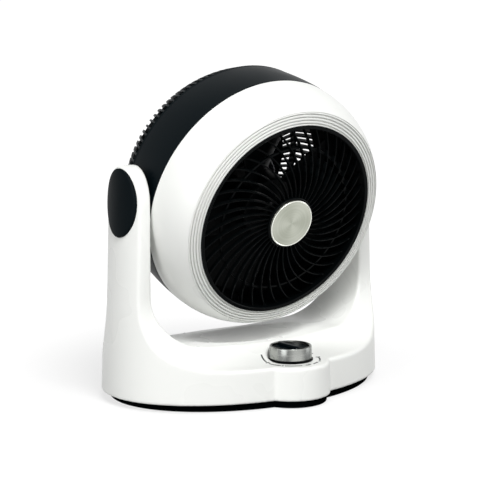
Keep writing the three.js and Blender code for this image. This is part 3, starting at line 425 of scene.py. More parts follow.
def group_tree(name, inputs, outputs):
    """A node group that takes a vector and numbers, and gives numbers"""
    tree = bpy.data.node_groups.new(name, "ShaderNodeTree")
    sockets = tree.interface.new_socket
    sockets(name="Vector", in_out="INPUT", socket_type="NodeSocketVector")
    for socket, value in inputs.items():
        made = sockets(name=socket, in_out="INPUT", socket_type="NodeSocketFloat")
        made.default_value = value
    for socket in outputs:
        sockets(name=socket, in_out="OUTPUT", socket_type="NodeSocketFloat")
    return tree, tree.nodes.new("NodeGroupInput").outputs, tree.nodes.new("NodeGroupOutput")


def mould_grain_group():
    """Fine unevenness of moulded plastic: a roughness and a height"""
    if "mould_grain" in bpy.data.node_groups:
        return bpy.data.node_groups["mould_grain"]
    tree, given, result = group_tree(
        "mould_grain", {"Scale": 900.0, "Low": 0.2, "High": 0.3}, ("Roughness", "Height"))
    fine = add_node(tree, "TexNoise", Detail=3, Vector=given["Vector"], Scale=given["Scale"])
    broad = add_node(tree, "TexNoise", Detail=2, Vector=given["Vector"], Scale=14)
    spread = add_node(tree, "MapRange", Value=broad["Fac"], From_Min=0.3, From_Max=0.7,
                      To_Min=given["Low"], To_Max=given["High"])
    feed(tree, result, Roughness=spread["Result"], Height=fine["Fac"])
    return tree


def painted_sheen_and_rings_group():
    """Fine rings left by a brush that went round an axis, and a painted sheen: bright and dark
    sectors that stand in for the brushed metal's reflections
    """
    if "painted_sheen_and_rings" in bpy.data.node_groups:
        return bpy.data.node_groups["painted_sheen_and_rings"]
    tree, given, result = group_tree(
        "painted_sheen_and_rings", {"Sectors": 3.0, "Depth": 0.3, "Rings": 900.0}, ("Shade", "Height"))
    radial = tree.nodes.new("ShaderNodeTexGradient")
    radial.gradient_type = "RADIAL"
    feed(tree, radial, Vector=given["Vector"])
    turn = maths(tree, "MULTIPLY", radial.outputs["Fac"], 2 * math.pi)
    # Painted highlight and shade: a wave of bright and dark sectors round the axis, in place of
    # the conic reflections of brushed metal
    sheen_wave = maths(tree, "COSINE", maths(tree, "MULTIPLY", turn, given["Sectors"]))
    apart = add_node(tree, "SeparateXYZ", Vector=given["Vector"])
    flat = add_node(tree, "CombineXYZ", X=apart["X"], Y=apart["Y"])
    distance = maths(tree, "LENGTH", flat["Vector"], kind="VectorMath")
    unrolled = add_node(tree, "CombineXYZ", X=distance, Z=apart["Z"])
    rings = add_node(tree, "TexNoise", Detail=4, Vector=unrolled["Vector"],
                     Scale=given["Rings"])["Fac"]
    shade = maths(tree, "MULTIPLY_ADD", sheen_wave, given["Depth"], rings)
    feed(tree, result, Shade=shade, Height=rings)
    return tree


def new_material(name, base, roughness, metallic=0.0, specular=0.5):
    material = bpy.data.materials.new(name + FINISH)
    material.use_nodes = True
    shader = material.node_tree.nodes["Principled BSDF"]
    feed(material.node_tree, shader, Base_Color=(*base, 1), Roughness=roughness,
         Metallic=metallic, Specular_IOR_Level=specular)
    return material, shader


def add_group(tree, group, vector, **inputs):
    node = tree.nodes.new("ShaderNodeGroup")
    node.node_tree = group
    return feed(tree, node, Vector=vector, **inputs).outputs


def add_bump(tree, shader, height, strength, distance):
    bump = add_node(tree, "Bump", Strength=strength, Distance=distance, Height=height)
    feed(tree, shader, Normal=bump["Normal"])


def plastic(name, base, low, high, grain, strength, specular=0.5):
    """Moulded plastic with uneven gloss and a fine grain"""
    if name + FINISH in bpy.data.materials:
        return bpy.data.materials[name + FINISH]
    material, shader = new_material(name, base, low, specular=specular)
    tree = material.node_tree
    surface = add_group(tree, mould_grain_group(), add_node(tree, "TexCoord")["Object"],
                        Scale=grain, Low=low, High=high)
    feed(tree, shader, Roughness=surface["Roughness"])
    add_bump(tree, shader, surface["Height"], strength, 0.0002)
    return material


def plain_metal(name, base, roughness):
    """Bare or plated metal with faint mottling"""
    material = plastic(name, base, roughness, roughness + 0.12, 900, 0.08)
    material.node_tree.nodes["Principled BSDF"].inputs["Metallic"].default_value = 1.0
    return material


def spun_metal(name, base, painted_shade_colour, roughness, axis_matrix, sheen_sectors, depth, rings):
    """Metal that was brushed round an axis, its reflections painted into the colour as bright and
    dark sectors
    """
    material, shader = new_material(name, base, roughness, metallic=1.0)
    tree = material.node_tree
    inverse = axis_matrix.inverted()
    centred = add_node(tree, "Mapping", Vector=add_node(tree, "TexCoord")["Object"],
                       Location=inverse.to_translation(), Rotation=inverse.to_euler())
    sheen_and_rings = add_group(tree, painted_sheen_and_rings_group(), centred["Vector"],
                        Sectors=sheen_sectors, Depth=depth, Rings=rings)
    # Painted sheen: the ramp runs from the painted shade colour of the dark sectors to the base
    # colour of the bright ones
    ramp = tree.nodes.new("ShaderNodeValToRGB")
    for stop, position, shade in zip(ramp.color_ramp.elements, (0.25, 0.75), (painted_shade_colour, base)):
        stop.position = position
        stop.color = (*shade, 1)
    feed(tree, ramp, Fac=sheen_and_rings["Shade"])
    feed(tree, shader, Base_Color=ramp.outputs["Color"])
    add_bump(tree, shader, sheen_and_rings["Height"], 0.15, 0.0001)
    return material


def palette():
    return bpy.context.scene.fan_colours


def base_sizes():
    return bpy.context.scene.fan_base


def head_sizes():
    return bpy.context.scene.fan_head


def white_plastic():
    return plastic("white_plastic", palette().white, 0.24, 0.34, 1400, 0.04, specular=0.35)


def dark_plastic():
    return plastic("dark_plastic", palette().dark, 0.34, 0.46, 1800, 0.12, specular=0.045)


def black_plastic():
    return plastic("black_plastic", palette().black, 0.30, 0.42, 1600, 0.06, specular=0.05)


def rubber():
    return plastic("rubber", palette().rubber, 0.75, 0.9, 2600, 0.3, specular=0.2)


def screw_steel():
    return plain_metal("screw_steel", (0.52, 0.52, 0.5), 0.32)


# ---------------------------------------------------------------------------------------------
# Base

def base_centre():
    """Where the middle of the base's oval lies along Y"""
    return HOUSING_HIGH.y - base_sizes().half_depth


def base_walls(name, inset, low, high, lean):
    """The oval wall with its round lobe"""
    size = base_sizes()
    wall = leaning_prism(name, size.half_width - inset, size.half_depth - inset,
                         base_centre(), low, high, lean)
    lobe = leaning_prism("lobe", size.lobe_radius - inset, size.lobe_radius - inset,
                         KNOB_PLACE.y, low, high, lean, 128)
    return boolean(wall, lobe, "UNION")


def side_outline():
    """The base seen from the side: deck, flares and rounded arm"""
    size = base_sizes()
    spring = DECK + size.flare_height
    front = PIVOT.y - size.arm_half_depth - size.flare_depth
    rear = PIVOT.y + size.arm_half_depth + size.rear_flare
    far = 2 * size.half_width
    fall = (far - rear) * math.tan(size.deck_fall)
    outline = [(-far, -far), (far, -far), (far, DECK - fall)]
    outline += arc((rear, spring), (size.rear_flare, size.flare_height), 270, 180, 24)
    outline += arc((PIVOT.y, PIVOT.z), (size.arm_half_depth, size.arm_top_rise), 0, 180, 40)
    outline += arc((front, spring), (size.flare_depth, size.flare_height), 0, -90, 24)
    return outline + [(-far, DECK)]


def yoke_outline():
    """The space between the arms seen from the front"""
    size = base_sizes()
    corner = size.arm_inner - size.corner_width
    edge = size.yoke_floor + size.yoke_sag
    radii = (size.corner_width, size.corner_height)
    spring = edge + size.corner_height
    far = 2 * size.half_width
    outline = [(size.arm_inner, far), (-size.arm_inner, far)]
    outline += arc((-corner, spring), radii, 180, 270, 20)
    for i in range(1, 16):
        share = i / 16
        sag = 4 * share * (1 - share) * size.yoke_sag
        outline.append((between(-corner, corner, share), edge - sag))
    outline += arc((corner, spring), radii, 270, 360, 20)
    return outline


def crease_point():
    """Where the lobe's circle meets the oval wall, on the +X side"""
    size = base_sizes()
    low, high = 0.0, math.pi
    for _ in range(40):
        angle = (low + high) / 2
        x = size.lobe_radius * math.sin(angle)
        y = KNOB_PLACE.y - size.lobe_radius * math.cos(angle)
        inside = (x / size.half_width) ** 2 + ((y - base_centre()) / size.half_depth) ** 2 < 1
        low, high = (low, angle) if inside else (angle, high)
    return x, y


def soften(piece, rounds):
    """Rounds the edges of the housing, but keeps its foot and the creases beside the lobe"""
    keep, fade = 0.001, 0.006  # of the foot: kept, and then less and less
    crease_keep, crease_fade = 0.002, 0.004
    crease = crease_point()
    group = piece.vertex_groups.new(name="soft")
    for vertex in piece.data.vertices:
        x, y, z = vertex.co
        foot = (z - HOUSING_LOW.z - keep) / fade
        distance = math.hypot(abs(x) - crease[0], y - crease[1])
        beside = (distance - crease_keep) / crease_fade
        if z > DECK - 0.004:
            beside = 1
        group.add([vertex.index], max(0.0, min(1.0, foot, beside)), "REPLACE")
    apply_modifier(piece, "SMOOTH", factor=0.5, iterations=rounds, vertex_group="soft")
    piece.vertex_groups.clear()


class FAN_OT_base_housing(bpy.types.Operator):
    """Models the white base with its two arms"""
    bl_idname = "fan.base_housing"
    bl_label = "Base housing"

    def execute(self, context):
        size = base_sizes()
        housing = base_walls("housing_look", 0, HOUSING_LOW.z, HOUSING_HIGH.z + 0.01,
                             math.tan(size.lean))
        side = prism("side", side_outline(), 4 * size.half_width)
        place(side, Matrix(((0, 0, 1, -2 * size.half_width), (1, 0, 0, 0), (0, 1, 0, 0),
                            (0, 0, 0, 1))))
        boolean(housing, side, "INTERSECT")
        yoke = prism("yoke", yoke_outline(), 4 * size.half_width)
        place(yoke, Matrix.Translation((0, 2 * size.half_width, 0))
              @ Matrix.Rotation(math.pi / 2, 4, "X"))
        fall = math.tan(size.yoke_fall)
        ridge = PIVOT.y - size.flare_depth + 0.010
        reshape(yoke, lambda co: Vector((co.x, co.y, co.z - fall * (co.y - ridge))))
        boolean(housing, yoke, "DIFFERENCE")
        boolean(housing, self.scoop(size), "DIFFERENCE")
        well = turned("well", tube(0, size.well, DECK, 0.1), 96)
        place(well, Matrix.Translation((0, KNOB_PLACE.y, 0)))
        boolean(housing, well, "DIFFERENCE")
        inlet = turned("inlet", tube(0, size.inlet, 0, 0.02), 48)
        grommet_low, grommet_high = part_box("cord_grommet")
        height = (grommet_low.z + grommet_high.z) / 2
        place(inlet, Matrix.Translation((0, grommet_high.y - 0.0024, height))
              @ Matrix.Rotation(-math.pi / 2, 4, "X"))
        boolean(housing, inlet, "DIFFERENCE")
        apply_modifier(housing, "REMESH", mode="VOXEL", voxel_size=0.0015)
        soften(housing, 14)
        finished(housing, "base", white_plastic(), ["base_housing"], "white_plastic", 60)
        return {"FINISHED"}

    def scoop(self, size):
        """A flattened ball that ends before the corners of the yoke"""
        deselect()
        reach = PIVOT.z - size.yoke_floor + size.scoop
        bpy.ops.mesh.primitive_uv_sphere_add(
            segments=128, ring_count=96, radius=1,
            location=PIVOT + Vector((0, size.scoop_rearward, 0)))
        bowl = new_piece("bowl")
        bowl.scale = (size.scoop_half_width, reach, reach)
        place(bowl)
        width = 2 * (size.arm_inner - size.corner_width)
        middle = block("middle", (width, 1, 0.2), (0, 0, 0.1))
        return boolean(bowl, middle, "INTERSECT")


class FAN_OT_base_cover(bpy.types.Operator):
    """Models the black cover under the base, with its feet and the pockets for its screws"""
    bl_idname = "fan.base_cover"
    bl_label = "Base cover"

    def execute(self, context):
        size = base_sizes()
        inset = size.half_width - COVER_HIGH.x
        cover = self.skirt("cover_look", size.half_width - size.side_inset,
                           size.half_depth - inset, base_centre(), 256)
        lobe = self.skirt("lobe", size.lobe_radius - inset, size.lobe_radius - inset,
                          KNOB_PLACE.y, 128)
        boolean(cover, lobe, "UNION")
        for corner in CORNERS:
            self.pocket(cover, *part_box("foot_" + corner))
        for number in range(1, 5):
            self.pocket(cover, *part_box(f"base_screw_{number}"))
        matt = plastic("matt_black", palette().black, 0.6, 0.75, 1600, 0.06, specular=0)
        finished(cover, "base", matt, ["base_cover"], "black_plastic", 40)
        for corner in CORNERS:
            self.foot(corner)
        return {"FINISHED"}

    def skirt(self, name, half_width, half_depth, centre, segments):
        """An oval plate with a small rounding at its foot"""
        top, low = HOUSING_LOW.z - GAP, 0.0006
        profile = [(0, top), (1, top), (1, low + 0.0012)]
        profile += [(1 - drawn / half_depth, low + height)
                    for drawn, height in ((0.0002, 0.0006), (0.0006, 0.0002), (0.0012, 0))]
        profile.append((0, low))
        plate = turned(name, profile, segments)
        reshape(plate, lambda co: Vector((co.x * half_width, centre + co.y * half_depth, co.z)))
        return plate

    def pocket(self, cover, low, high):
        radius = (high.x - low.x) / 2 + GAP
        depth = low.z + (0.0045 if high.x - low.x > 0.01 else 0.0023)
        tool = turned("tool", tube(0, radius, -0.01, depth), 48)
        place(tool, over(low, high))
        boolean(cover, tool, "DIFFERENCE")

    def foot(self, corner):
        low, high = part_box("foot_" + corner)
        radius, round_ = (high.x - low.x) / 2, 0.0018
        profile = [(0, 0), (radius - round_, 0)]
        profile += arc((radius - round_, round_), (round_, round_), -75, 0, 5)
        profile += [(radius, high.z), (0, high.z)]
        turned_piece(over(low, high), f"foot_{corner}_look", profile, 48, "base", rubber(),
                     ["foot_" + corner], "foot_rubber")


def screw(node, matrix, body):
    """A pan-head screw with a cross in its head, the head's outer face at z = 0"""
    profile = [(0, 0), (0.0024, 0), (0.0031, 0.0003), (0.0034, 0.0009), (0.0034, 0.002),
               (0.0016, 0.002), (0.0016, 0.016), (0, 0.016)]
    piece = turned(node + "_look", profile, 32)
    for turn in (0, math.pi / 2):
        slot = block("slot", (0.0038, 0.0008, 0.0018), matrix=Matrix.Rotation(turn, 4, "Z"))
        boolean(piece, slot, "DIFFERENCE")
    laid(piece, matrix, body, screw_steel(), [node], "screw_steel", 30)


class FAN_OT_screws(bpy.types.Operator):
    """Models the screws under the base and behind the motor"""
    bl_idname = "fan.screws"
    bl_label = "Screws"

    def execute(self, context):
        for number in range(1, 5):
            low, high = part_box(f"base_screw_{number}")
            foot = over(low, high) @ Matrix.Translation((0, 0, low.z))
            screw(f"base_screw_{number}", foot, "base")
        turn = HEAD.to_3x3().to_4x4()
        for number in range(1, 5):
            low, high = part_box(f"motor_screw_{number}")
            middle = HEAD.inverted() @ ((low + high) / 2)
            start = HEAD @ Vector((middle.x, middle.y, -head_sizes().rear_face - 0.0023))
            screw(f"motor_screw_{number}", Matrix.Translation(start) @ turn, "head")
        return {"FINISHED"}


class FAN_OT_side_caps(bpy.types.Operator):
    """Models the two oval caps over the pivots"""
    bl_idname = "fan.side_caps"
    bl_label = "Side caps"

    def execute(self, context):
        size = base_sizes()
        for name, side in (("left", -1), ("right", 1)):
            low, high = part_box("side_cap_" + name)
            height = (high.z + low.z) / 2
            cap = self.plate(size)
            reshape(cap, lambda co: self.on_wall(co, side, height))
            outward(cap)
            cap.name = f"side_cap_{name}_look"
            finished(cap, "base", dark_plastic(), ["side_cap_" + name], "dark_plastic", 50)
        return {"FINISHED"}

    def plate(self, size):
        """An oval plate in X and Y with a rounded rim, proud along Z"""
        edge = size.cap_bulge - 0.0016
        profile = [(0, -0.004), (0.98, -0.004), (0.995, 0.0003), (1.0, edge)]
        profile += [(1 - 0.08 * (1 - math.cos(a)), edge + 0.0013 * math.sin(a))
                    for a in (0.4, 0.8, 1.2, 1.57)]
        profile += [(share, size.cap_bulge - 0.0002 * share) for share in (0.8, 0.6, 0.4, 0.2, 0)]
        plate = turned("cap", profile, 96)
        reshape(plate, lambda co: Vector((co.x * size.cap_half_width,
                                          co.y * size.cap_half_height, co.z)))
        return plate

    def on_wall(self, co, side, height):
        size = base_sizes()
        y = PIVOT.y - side * co.x
        z = height + co.y
        drawn_in = math.tan(size.lean) * (z - HOUSING_LOW.z)
        share = (y - base_centre()) / (size.half_depth - drawn_in)
        wall = (size.half_width - drawn_in) * math.sqrt(1 - share * share)
        return Vector((side * (wall + co.z), y, z))


class FAN_OT_speed_knob(bpy.types.Operator):
    """Models the knob, the dark ring under it and the printed scale"""
    bl_idname = "fan.speed_knob"
    bl_label = "Speed knob"

    def execute(self, context):
        at = Matrix.Translation((0, KNOB_PLACE.y, 0))
        radius = (KNOB_HIGH.x - KNOB_LOW.x) / 2
        low, top = KNOB_LOW.z, KNOB_HIGH.z
        wall, recess = 0.0026, 0.0045
        inner, floor = radius - wall, top - recess
        profile = [(0, floor - 0.0016), (inner, floor - 0.0016), (inner, low + 0.0006),
                   (inner + 0.0006, low), (radius - 0.0006, low), (radius, low + 0.0006),
                   (radius - 0.0002, top - 0.0012), (radius - 0.0006, top - 0.0004),
                   (radius - 0.0014, top), (inner + 0.0008, top), (inner, top - 0.0008),
                   (inner, floor), (0, floor)]
        # Painted sheen: five bright and dark sectors round the knob's axis stand in for the
        # reflections on its brushed steel
        steel = spun_metal("knob_steel", palette().steel, (0.14, 0.145, 0.14), 0.26, at, 5, 0.35,
                           1500)
        turned_piece(at, "knob_look", profile, 128, "knob", steel, ["knob_body"], "knob_metal",
                     30)
        self.insert(at, inner - GAP, floor + GAP, top)
        bezel_low, bezel_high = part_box("dial_bezel")
        outer, bore = (bezel_high.x - bezel_low.x) / 2, 0.018
        profile = [(bore, bezel_low.z), (outer, bezel_low.z), (outer, bezel_high.z - 0.0003),
                   (outer - 0.0003, bezel_high.z), (bore, bezel_high.z)]
        turned_piece(at, "bezel_look", profile, 128, "base", black_plastic(), ["dial_bezel"],
                     "black_plastic")
        self.scale(at)
        return {"FINISHED"}

    def insert(self, at, radius, low, top):
        """The dark disc in the knob's recess with a finger grip across it"""
        disc = turned("disc", tube(0, radius, low, low + 0.001), 96)
        grip = block("grip", (0.005, 2 * radius * 0.985, top - GAP - low),
                     (0, 0, (low + top) / 2))
        bevel(grip, 0.0008, 3)
        insert = boolean(disc, grip, "UNION")
        insert.name = "knob_insert_look"
        laid(insert, at, "knob", dark_plastic(), ["knob_insert"], "dark_plastic", 30)

    def scale(self, at):
        """Printed arcs, dots and ticks round the knob"""
        marks = [self.mark(0.0285, 0.0301, start, stop) for start, stop in
                 ((150, 178), (186, 214), (222, 256), (264, 276), (284, 300), (318, 340),
                  (4, 26))]
        for angle in (218, 310):
            marks.append(self.dot(0.0298, angle, 0.0012))
        for angle in (182, 344):
            marks.append(self.mark(0.0272, 0.0315, angle - 1.5, angle + 1.5))
        ink = plastic("scale_ink", palette().print_, 0.5, 0.6, 2000, 0.05)
        joined_piece(at, "dial_scale", marks, "base", ink, (), "black_plastic")

    def mark(self, inner, outer, start, stop):
        steps = max(2, int((stop - start) / 3))
        outline = arc((0, 0), (outer, outer), start, stop, steps)
        outline += arc((0, 0), (inner, inner), stop, start, steps)
        piece = prism("mark", outline, 0.0006)
        reshape(piece, self.on_deck)
        return piece

    def dot(self, distance, angle, radius):
        piece = turned("dot", tube(0, radius, 0, 0.0006), 24)
        turn = math.radians(angle)
        place(piece, Matrix.Translation((distance * math.cos(turn),
                                         distance * math.sin(turn), 0)))
        reshape(piece, self.on_deck)
        return piece

    def on_deck(self, co):
        """Lays a mark on the deck, which starts to rise beside the knob"""
        size = base_sizes()
        foot = PIVOT.y - size.arm_half_depth - size.flare_depth
        share = max(0.0, co.y + KNOB_PLACE.y - foot) / size.flare_depth
        rise = size.flare_height * (1 - math.sqrt(1 - share * share))
        sunk = 0.0004
        return Vector((co.x, co.y, DECK - sunk + rise + co.z))


class FAN_OT_inlet_sleeve(bpy.types.Operator):
    """Models the rubber sleeve of the lead's inlet"""
    bl_idname = "fan.inlet_sleeve"
    bl_label = "Inlet sleeve"

    def execute(self, context):
        low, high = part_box("cord_grommet")
        outer = (high.x - low.x) / 2
        profile = [(0.0034, 0.0003), (0.0039, 0), (outer - 0.0008, 0), (outer, 0.0008),
                   (outer, 0.0021), (0.006, 0.0021), (0.006, high.y - low.y),
                   (0.0034, high.y - low.y)]
        at = (Matrix.Translation((0, high.y, (low.z + high.z) / 2))
              @ Matrix.Rotation(math.pi / 2, 4, "X"))
        turned_piece(at, "inlet_sleeve_look", profile, 64, "base", rubber(), ["cord_grommet"],
                     "foot_rubber")
        return {"FINISHED"}


# ---------------------------------------------------------------------------------------------
# Head

def front_shell_radius(forward):
    """Outer radius of the front shell at a distance in front of the tilt axis"""
    size = head_sizes()
    edge = size.ring_forward - size.ring_slope
    reach = math.sqrt(1 - ((edge - size.seam) / size.bulge) ** 2)
    height = (size.radius - size.ring_radius - 0.0003) / (1 - reach)
    share = min(1.0, (forward - size.seam) / size.bulge)
    return size.radius - height * (1 - math.sqrt(1 - share * share))


def collar_radius():
    """Outer radius at the rear shell's end, where the rear grille starts"""
    return head_sizes().radius - 0.0039


def band_radius(forward):
    """Outer radius of the rear shell"""
    size = head_sizes()
    share = (size.seam - forward) / (size.seam + size.band_rear)
    return between(size.radius, collar_radius(), share * share)


class FAN_OT_shells(bpy.types.Operator):
    """Models the white front shell and the dark rear shell"""
    bl_idname = "fan.shells"
    bl_label = "Shells"

    def execute(self, context):
        size = head_sizes()
        rear = size.seam + GAP
        edge = size.ring_forward - size.ring_slope
        steps = 28
        stations = [rear + (edge - rear) * i / steps for i in range(steps + 1)]
        outer = [(front_shell_radius(s), s) for s in stations]
        outer[0] = (outer[0][0] - 0.0005, rear)
        outer.insert(1, (front_shell_radius(rear + 0.0006), rear + 0.0006))
        inner = [(radius - size.wall, min(forward, edge - 0.0056))
                 for radius, forward in reversed(outer[1:-1:3])]
        lip = size.opening + 0.0028
        profile = outer + [
            (size.ring_radius + 0.0002, edge), (size.ring_radius + 0.0002, edge - 0.003),
            (lip, edge - 0.003), (lip, edge - 0.0056)] + inner + [
                (size.radius - size.wall, rear)]
        turned_piece(HEAD, "front_shell_look", profile, 192, "head", white_plastic(),
                     ["front_shell"], "white_plastic")
        self.rear(size)
        return {"FINISHED"}

    def rear(self, size):
        steps = 10
        stations = [size.seam - (size.seam + size.band_rear) * i / steps
                    for i in range(steps + 1)]
        outer = [(band_radius(s), s) for s in stations]
        outer[0] = (outer[0][0] - 0.0005, size.seam)
        outer.insert(1, (band_radius(size.seam - 0.0006), size.seam - 0.0006))
        inner = [(radius - size.wall, s) for radius, s in reversed(outer)]
        shell = turned("rear_shell", outer + inner, 192)
        bosses = []
        bore = 0.0053
        for side in (-1, 1):
            boss = turned("boss", [(bore, 0.110), (0.013, 0.110), (0.013, 0.1280),
                                   (0.0127, 0.1285), (bore, 0.1285)], 64)
            place(boss, Matrix.Rotation(side * math.pi / 2, 4, "Y"))
            bosses.append(boss)
        joined_piece(HEAD, "rear_shell_look", [shell] + bosses, "head", dark_plastic(),
                     ["rear_shell"], "dark_plastic")


class FAN_OT_front_ring(bpy.types.Operator):
    """Models the white ring round the opening with its grooves"""
    bl_idname = "fan.front_ring"
    bl_label = "Front ring"

    def execute(self, context):
        size = head_sizes()
        edge = size.ring_forward - size.ring_slope
        width = size.ring_radius - size.opening
        slope = size.ring_slope / width

        def face(radius):
            return size.ring_forward - slope * (radius - size.opening)

        profile = [(size.opening, edge - 0.0056), (size.opening, face(size.opening) - 0.0005),
                   (size.opening + 0.0002, face(size.opening) - 0.0001),
                   (size.opening + 0.0006, face(size.opening + 0.0006))]
        mouth, bottom, depth = 0.0008, 0.0006, 0.0022  # half widths of a groove, and its depth
        for share in (0.17, 0.39, 0.61, 0.83):
            middle = size.opening + width * share
            profile += [(middle - mouth, face(middle - mouth)),
                        (middle - bottom, face(middle) - depth),
                        (middle + bottom, face(middle) - depth),
                        (middle + mouth, face(middle + mouth))]
        outer = size.ring_radius - 0.0001
        profile += [(outer - 0.0008, face(outer - 0.0008)), (outer, face(outer) - 0.0006),
                    (outer, edge - 0.0027), (size.opening + 0.0022, edge - 0.0027),
                    (size.opening + 0.0022, edge - 0.0056)]
        turned_piece(HEAD, "front_ring_look", profile, 192, "head", white_plastic(),
                     ["front_ring"], "white_plastic", 25)
        return {"FINISHED"}


def rim_front():
    return head_sizes().ring_forward - 0.0002


def rim_inner():
    return head_sizes().opening - 0.0033


def grille_forward(radius):
    """How far forward the front of a rib is, on its way from the hub to the rim"""
    size = head_sizes()
    share = (radius - size.hub) / (rim_inner() - size.hub)
    sunk, dome = 0.0038, 0.010
    return rim_front() - sunk + dome * (1 - max(0.0, min(1.0, share)) ** 1.6)


def rib_angle(radius):
    size = head_sizes()
    share = max(0.0, (radius - size.hub) / (size.opening - size.hub))
    return size.phase + size.sweep * share ** 1.12


class FAN_OT_front_grille(bpy.types.Operator):
    """Models the front grille: spiral ribs, rim, support ring and hub"""
    bl_idname = "fan.front_grille"
    bl_label = "Front grille"

    def execute(self, context):
        size = head_sizes()
        start = size.hub - 0.001
        stop = size.opening - 0.0023
        rib = unit_bar("rib", 14)
        reshape(rib, lambda co: self.on_spiral(co, start, stop))
        outward(rib)
        bevel(rib, 0.00035, 1, 60)
        ribs = spun_copies(rib, size.ribs)
        inner, outer = rim_inner(), size.opening - GAP
        front = rim_front()
        bead = size.opening + 0.0007
        rim = turned("rim", [(inner, front - 0.0094), (outer, front - 0.0094),
                             (outer, front + 0.0004), (bead, front + 0.0004),
                             (bead, front + 0.0008), (bead - 0.0004, front + 0.0012),
                             (inner + 0.0006, front + 0.0012), (inner, front + 0.0006)], 160)
        back = grille_forward(0.0755) - size.rib_depth
        middle = turned("middle", tube(0.0745, 0.0765, back - 0.0015, back + 0.001), 160)
        hub_front = grille_forward(0) + 0.002
        seat = hub_front - 0.0018
        hub = turned("hub", [(0, hub_front - 0.008), (size.hub, hub_front - 0.008),
                             (size.hub, hub_front - 0.0008), (size.hub - 0.0008, hub_front),
                             (size.badge + 0.0003, hub_front), (size.badge + 0.0003, seat),
                             (0, seat)], 96)
        joined_piece(HEAD, "front_grille_look", [ribs, rim, middle, hub], "head",
                     black_plastic(), ["front_grille"], "black_plastic", 30)
        self.badge(size, hub_front)
        return {"FINISHED"}

    def on_spiral(self, co, start, stop):
        """Lays a straight unit bar on the spiral, its front edge a little narrower"""
        radius = between(start, stop, co.x)
        angle = rib_angle(radius)
        step = 0.0005
        slope = (rib_angle(radius + step) - rib_angle(radius - step)) / (2 * step) * radius
        along = angle + math.atan(slope)
        depth = head_sizes().rib_depth * (0.5 - co.z)
        across = co.y * (0.0014 if co.z > 0 else 0.0018)
        return Vector((radius * math.cos(angle) - math.sin(along) * across,
                       radius * math.sin(angle) + math.cos(along) * across,
                       grille_forward(radius) - depth))

    def badge(self, size, hub_front):
        low, top = hub_front - 0.0015, hub_front + 0.0015
        profile = [(0, low), (size.badge, low), (size.badge, top - 0.0012),
                   (size.badge - 0.0004, top - 0.0005), (size.badge - 0.0012, top - 0.0001),
                   (size.badge - 0.0020, top), (size.badge * 0.6, top), (0, top)]
        # Painted sheen: three bright and dark sectors round the badge's axis stand in for the
        # conic reflections of its brushed silver
        silver = spun_metal("spun_silver", palette().silver, (0.37, 0.385, 0.325), 0.34, HEAD, 3,
                            0.22, 500)
        turned_piece(HEAD, "hub_badge_look", profile, 128, "head", silver, ["hub_badge"],
                     "badge_metal", 30)
        outer = size.badge - 0.0001
        rim = [(outer - 0.0013, top - 0.0006), (outer, top - 0.0010), (outer, top - 0.0002),
               (outer - 0.0004, top + 0.0002), (outer - 0.0009, top + 0.0002),
               (outer - 0.0013, top - 0.0001)]
        # Painted highlight: the rim's metal is a lighter copy of the badge's silver that paints
        # the bright line of light along the rim
        painted_highlight_metal = plain_metal("badge_rim_painted_highlight", (0.80, 0.81, 0.75), 0.22)
        turned_piece(HEAD, "badge_rim_painted_highlight_look", rim, 128, "head", painted_highlight_metal, (), "badge_metal", 30)


def rear_slope(forward, depth):
    """The rear grille's radius at a place on its bulging slope, at some depth under the surface"""
    size = head_sizes()
    start = -size.band_rear - 0.001
    fall = (collar_radius() - size.rear_corner) / (start + size.rear_face)
    share = (start - forward) / (start + size.rear_face)
    bulge = 0.010 * share * (1 - share)
    return (collar_radius() - GAP - (start - forward) * fall + bulge
            - depth * math.hypot(1, fall))


def rear_rib_path():
    """Pairs of an outer and an inner point of a rear rib, from the plate to the band"""
    size = head_sizes()
    start = -size.band_rear - 0.001
    back = -size.rear_face + GAP
    round_ = size.rear_rounding
    inner = back + size.back_depth
    bend = (rear_slope(inner, size.rear_depth), inner)
    turn = (rear_slope(back, 0) - round_, back)
    pairs = [((radius, back), (radius, inner))
             for radius in (size.plate - 0.0015, size.plate + 0.005, bend[0] - 0.002)]
    pairs.append((turn, bend))
    for share in (0.35, 0.7):
        radius = turn[0] + round_ * math.sin(share * math.pi / 2)
        pairs.append(((radius - 0.0004, back + round_ * (1 - math.cos(share * math.pi / 2))),
                      (bend[0] + 0.0006 * share, bend[1] + 0.002 * share)))
    for share in (0, 0.25, 0.5, 0.75, 1):
        outer = between(back + round_, start, share)
        under = between(bend[1] + 0.004, start, share)
        pairs.append(((rear_slope(outer, 0), outer),
                      (rear_slope(under, size.rear_depth), under)))
    return pairs


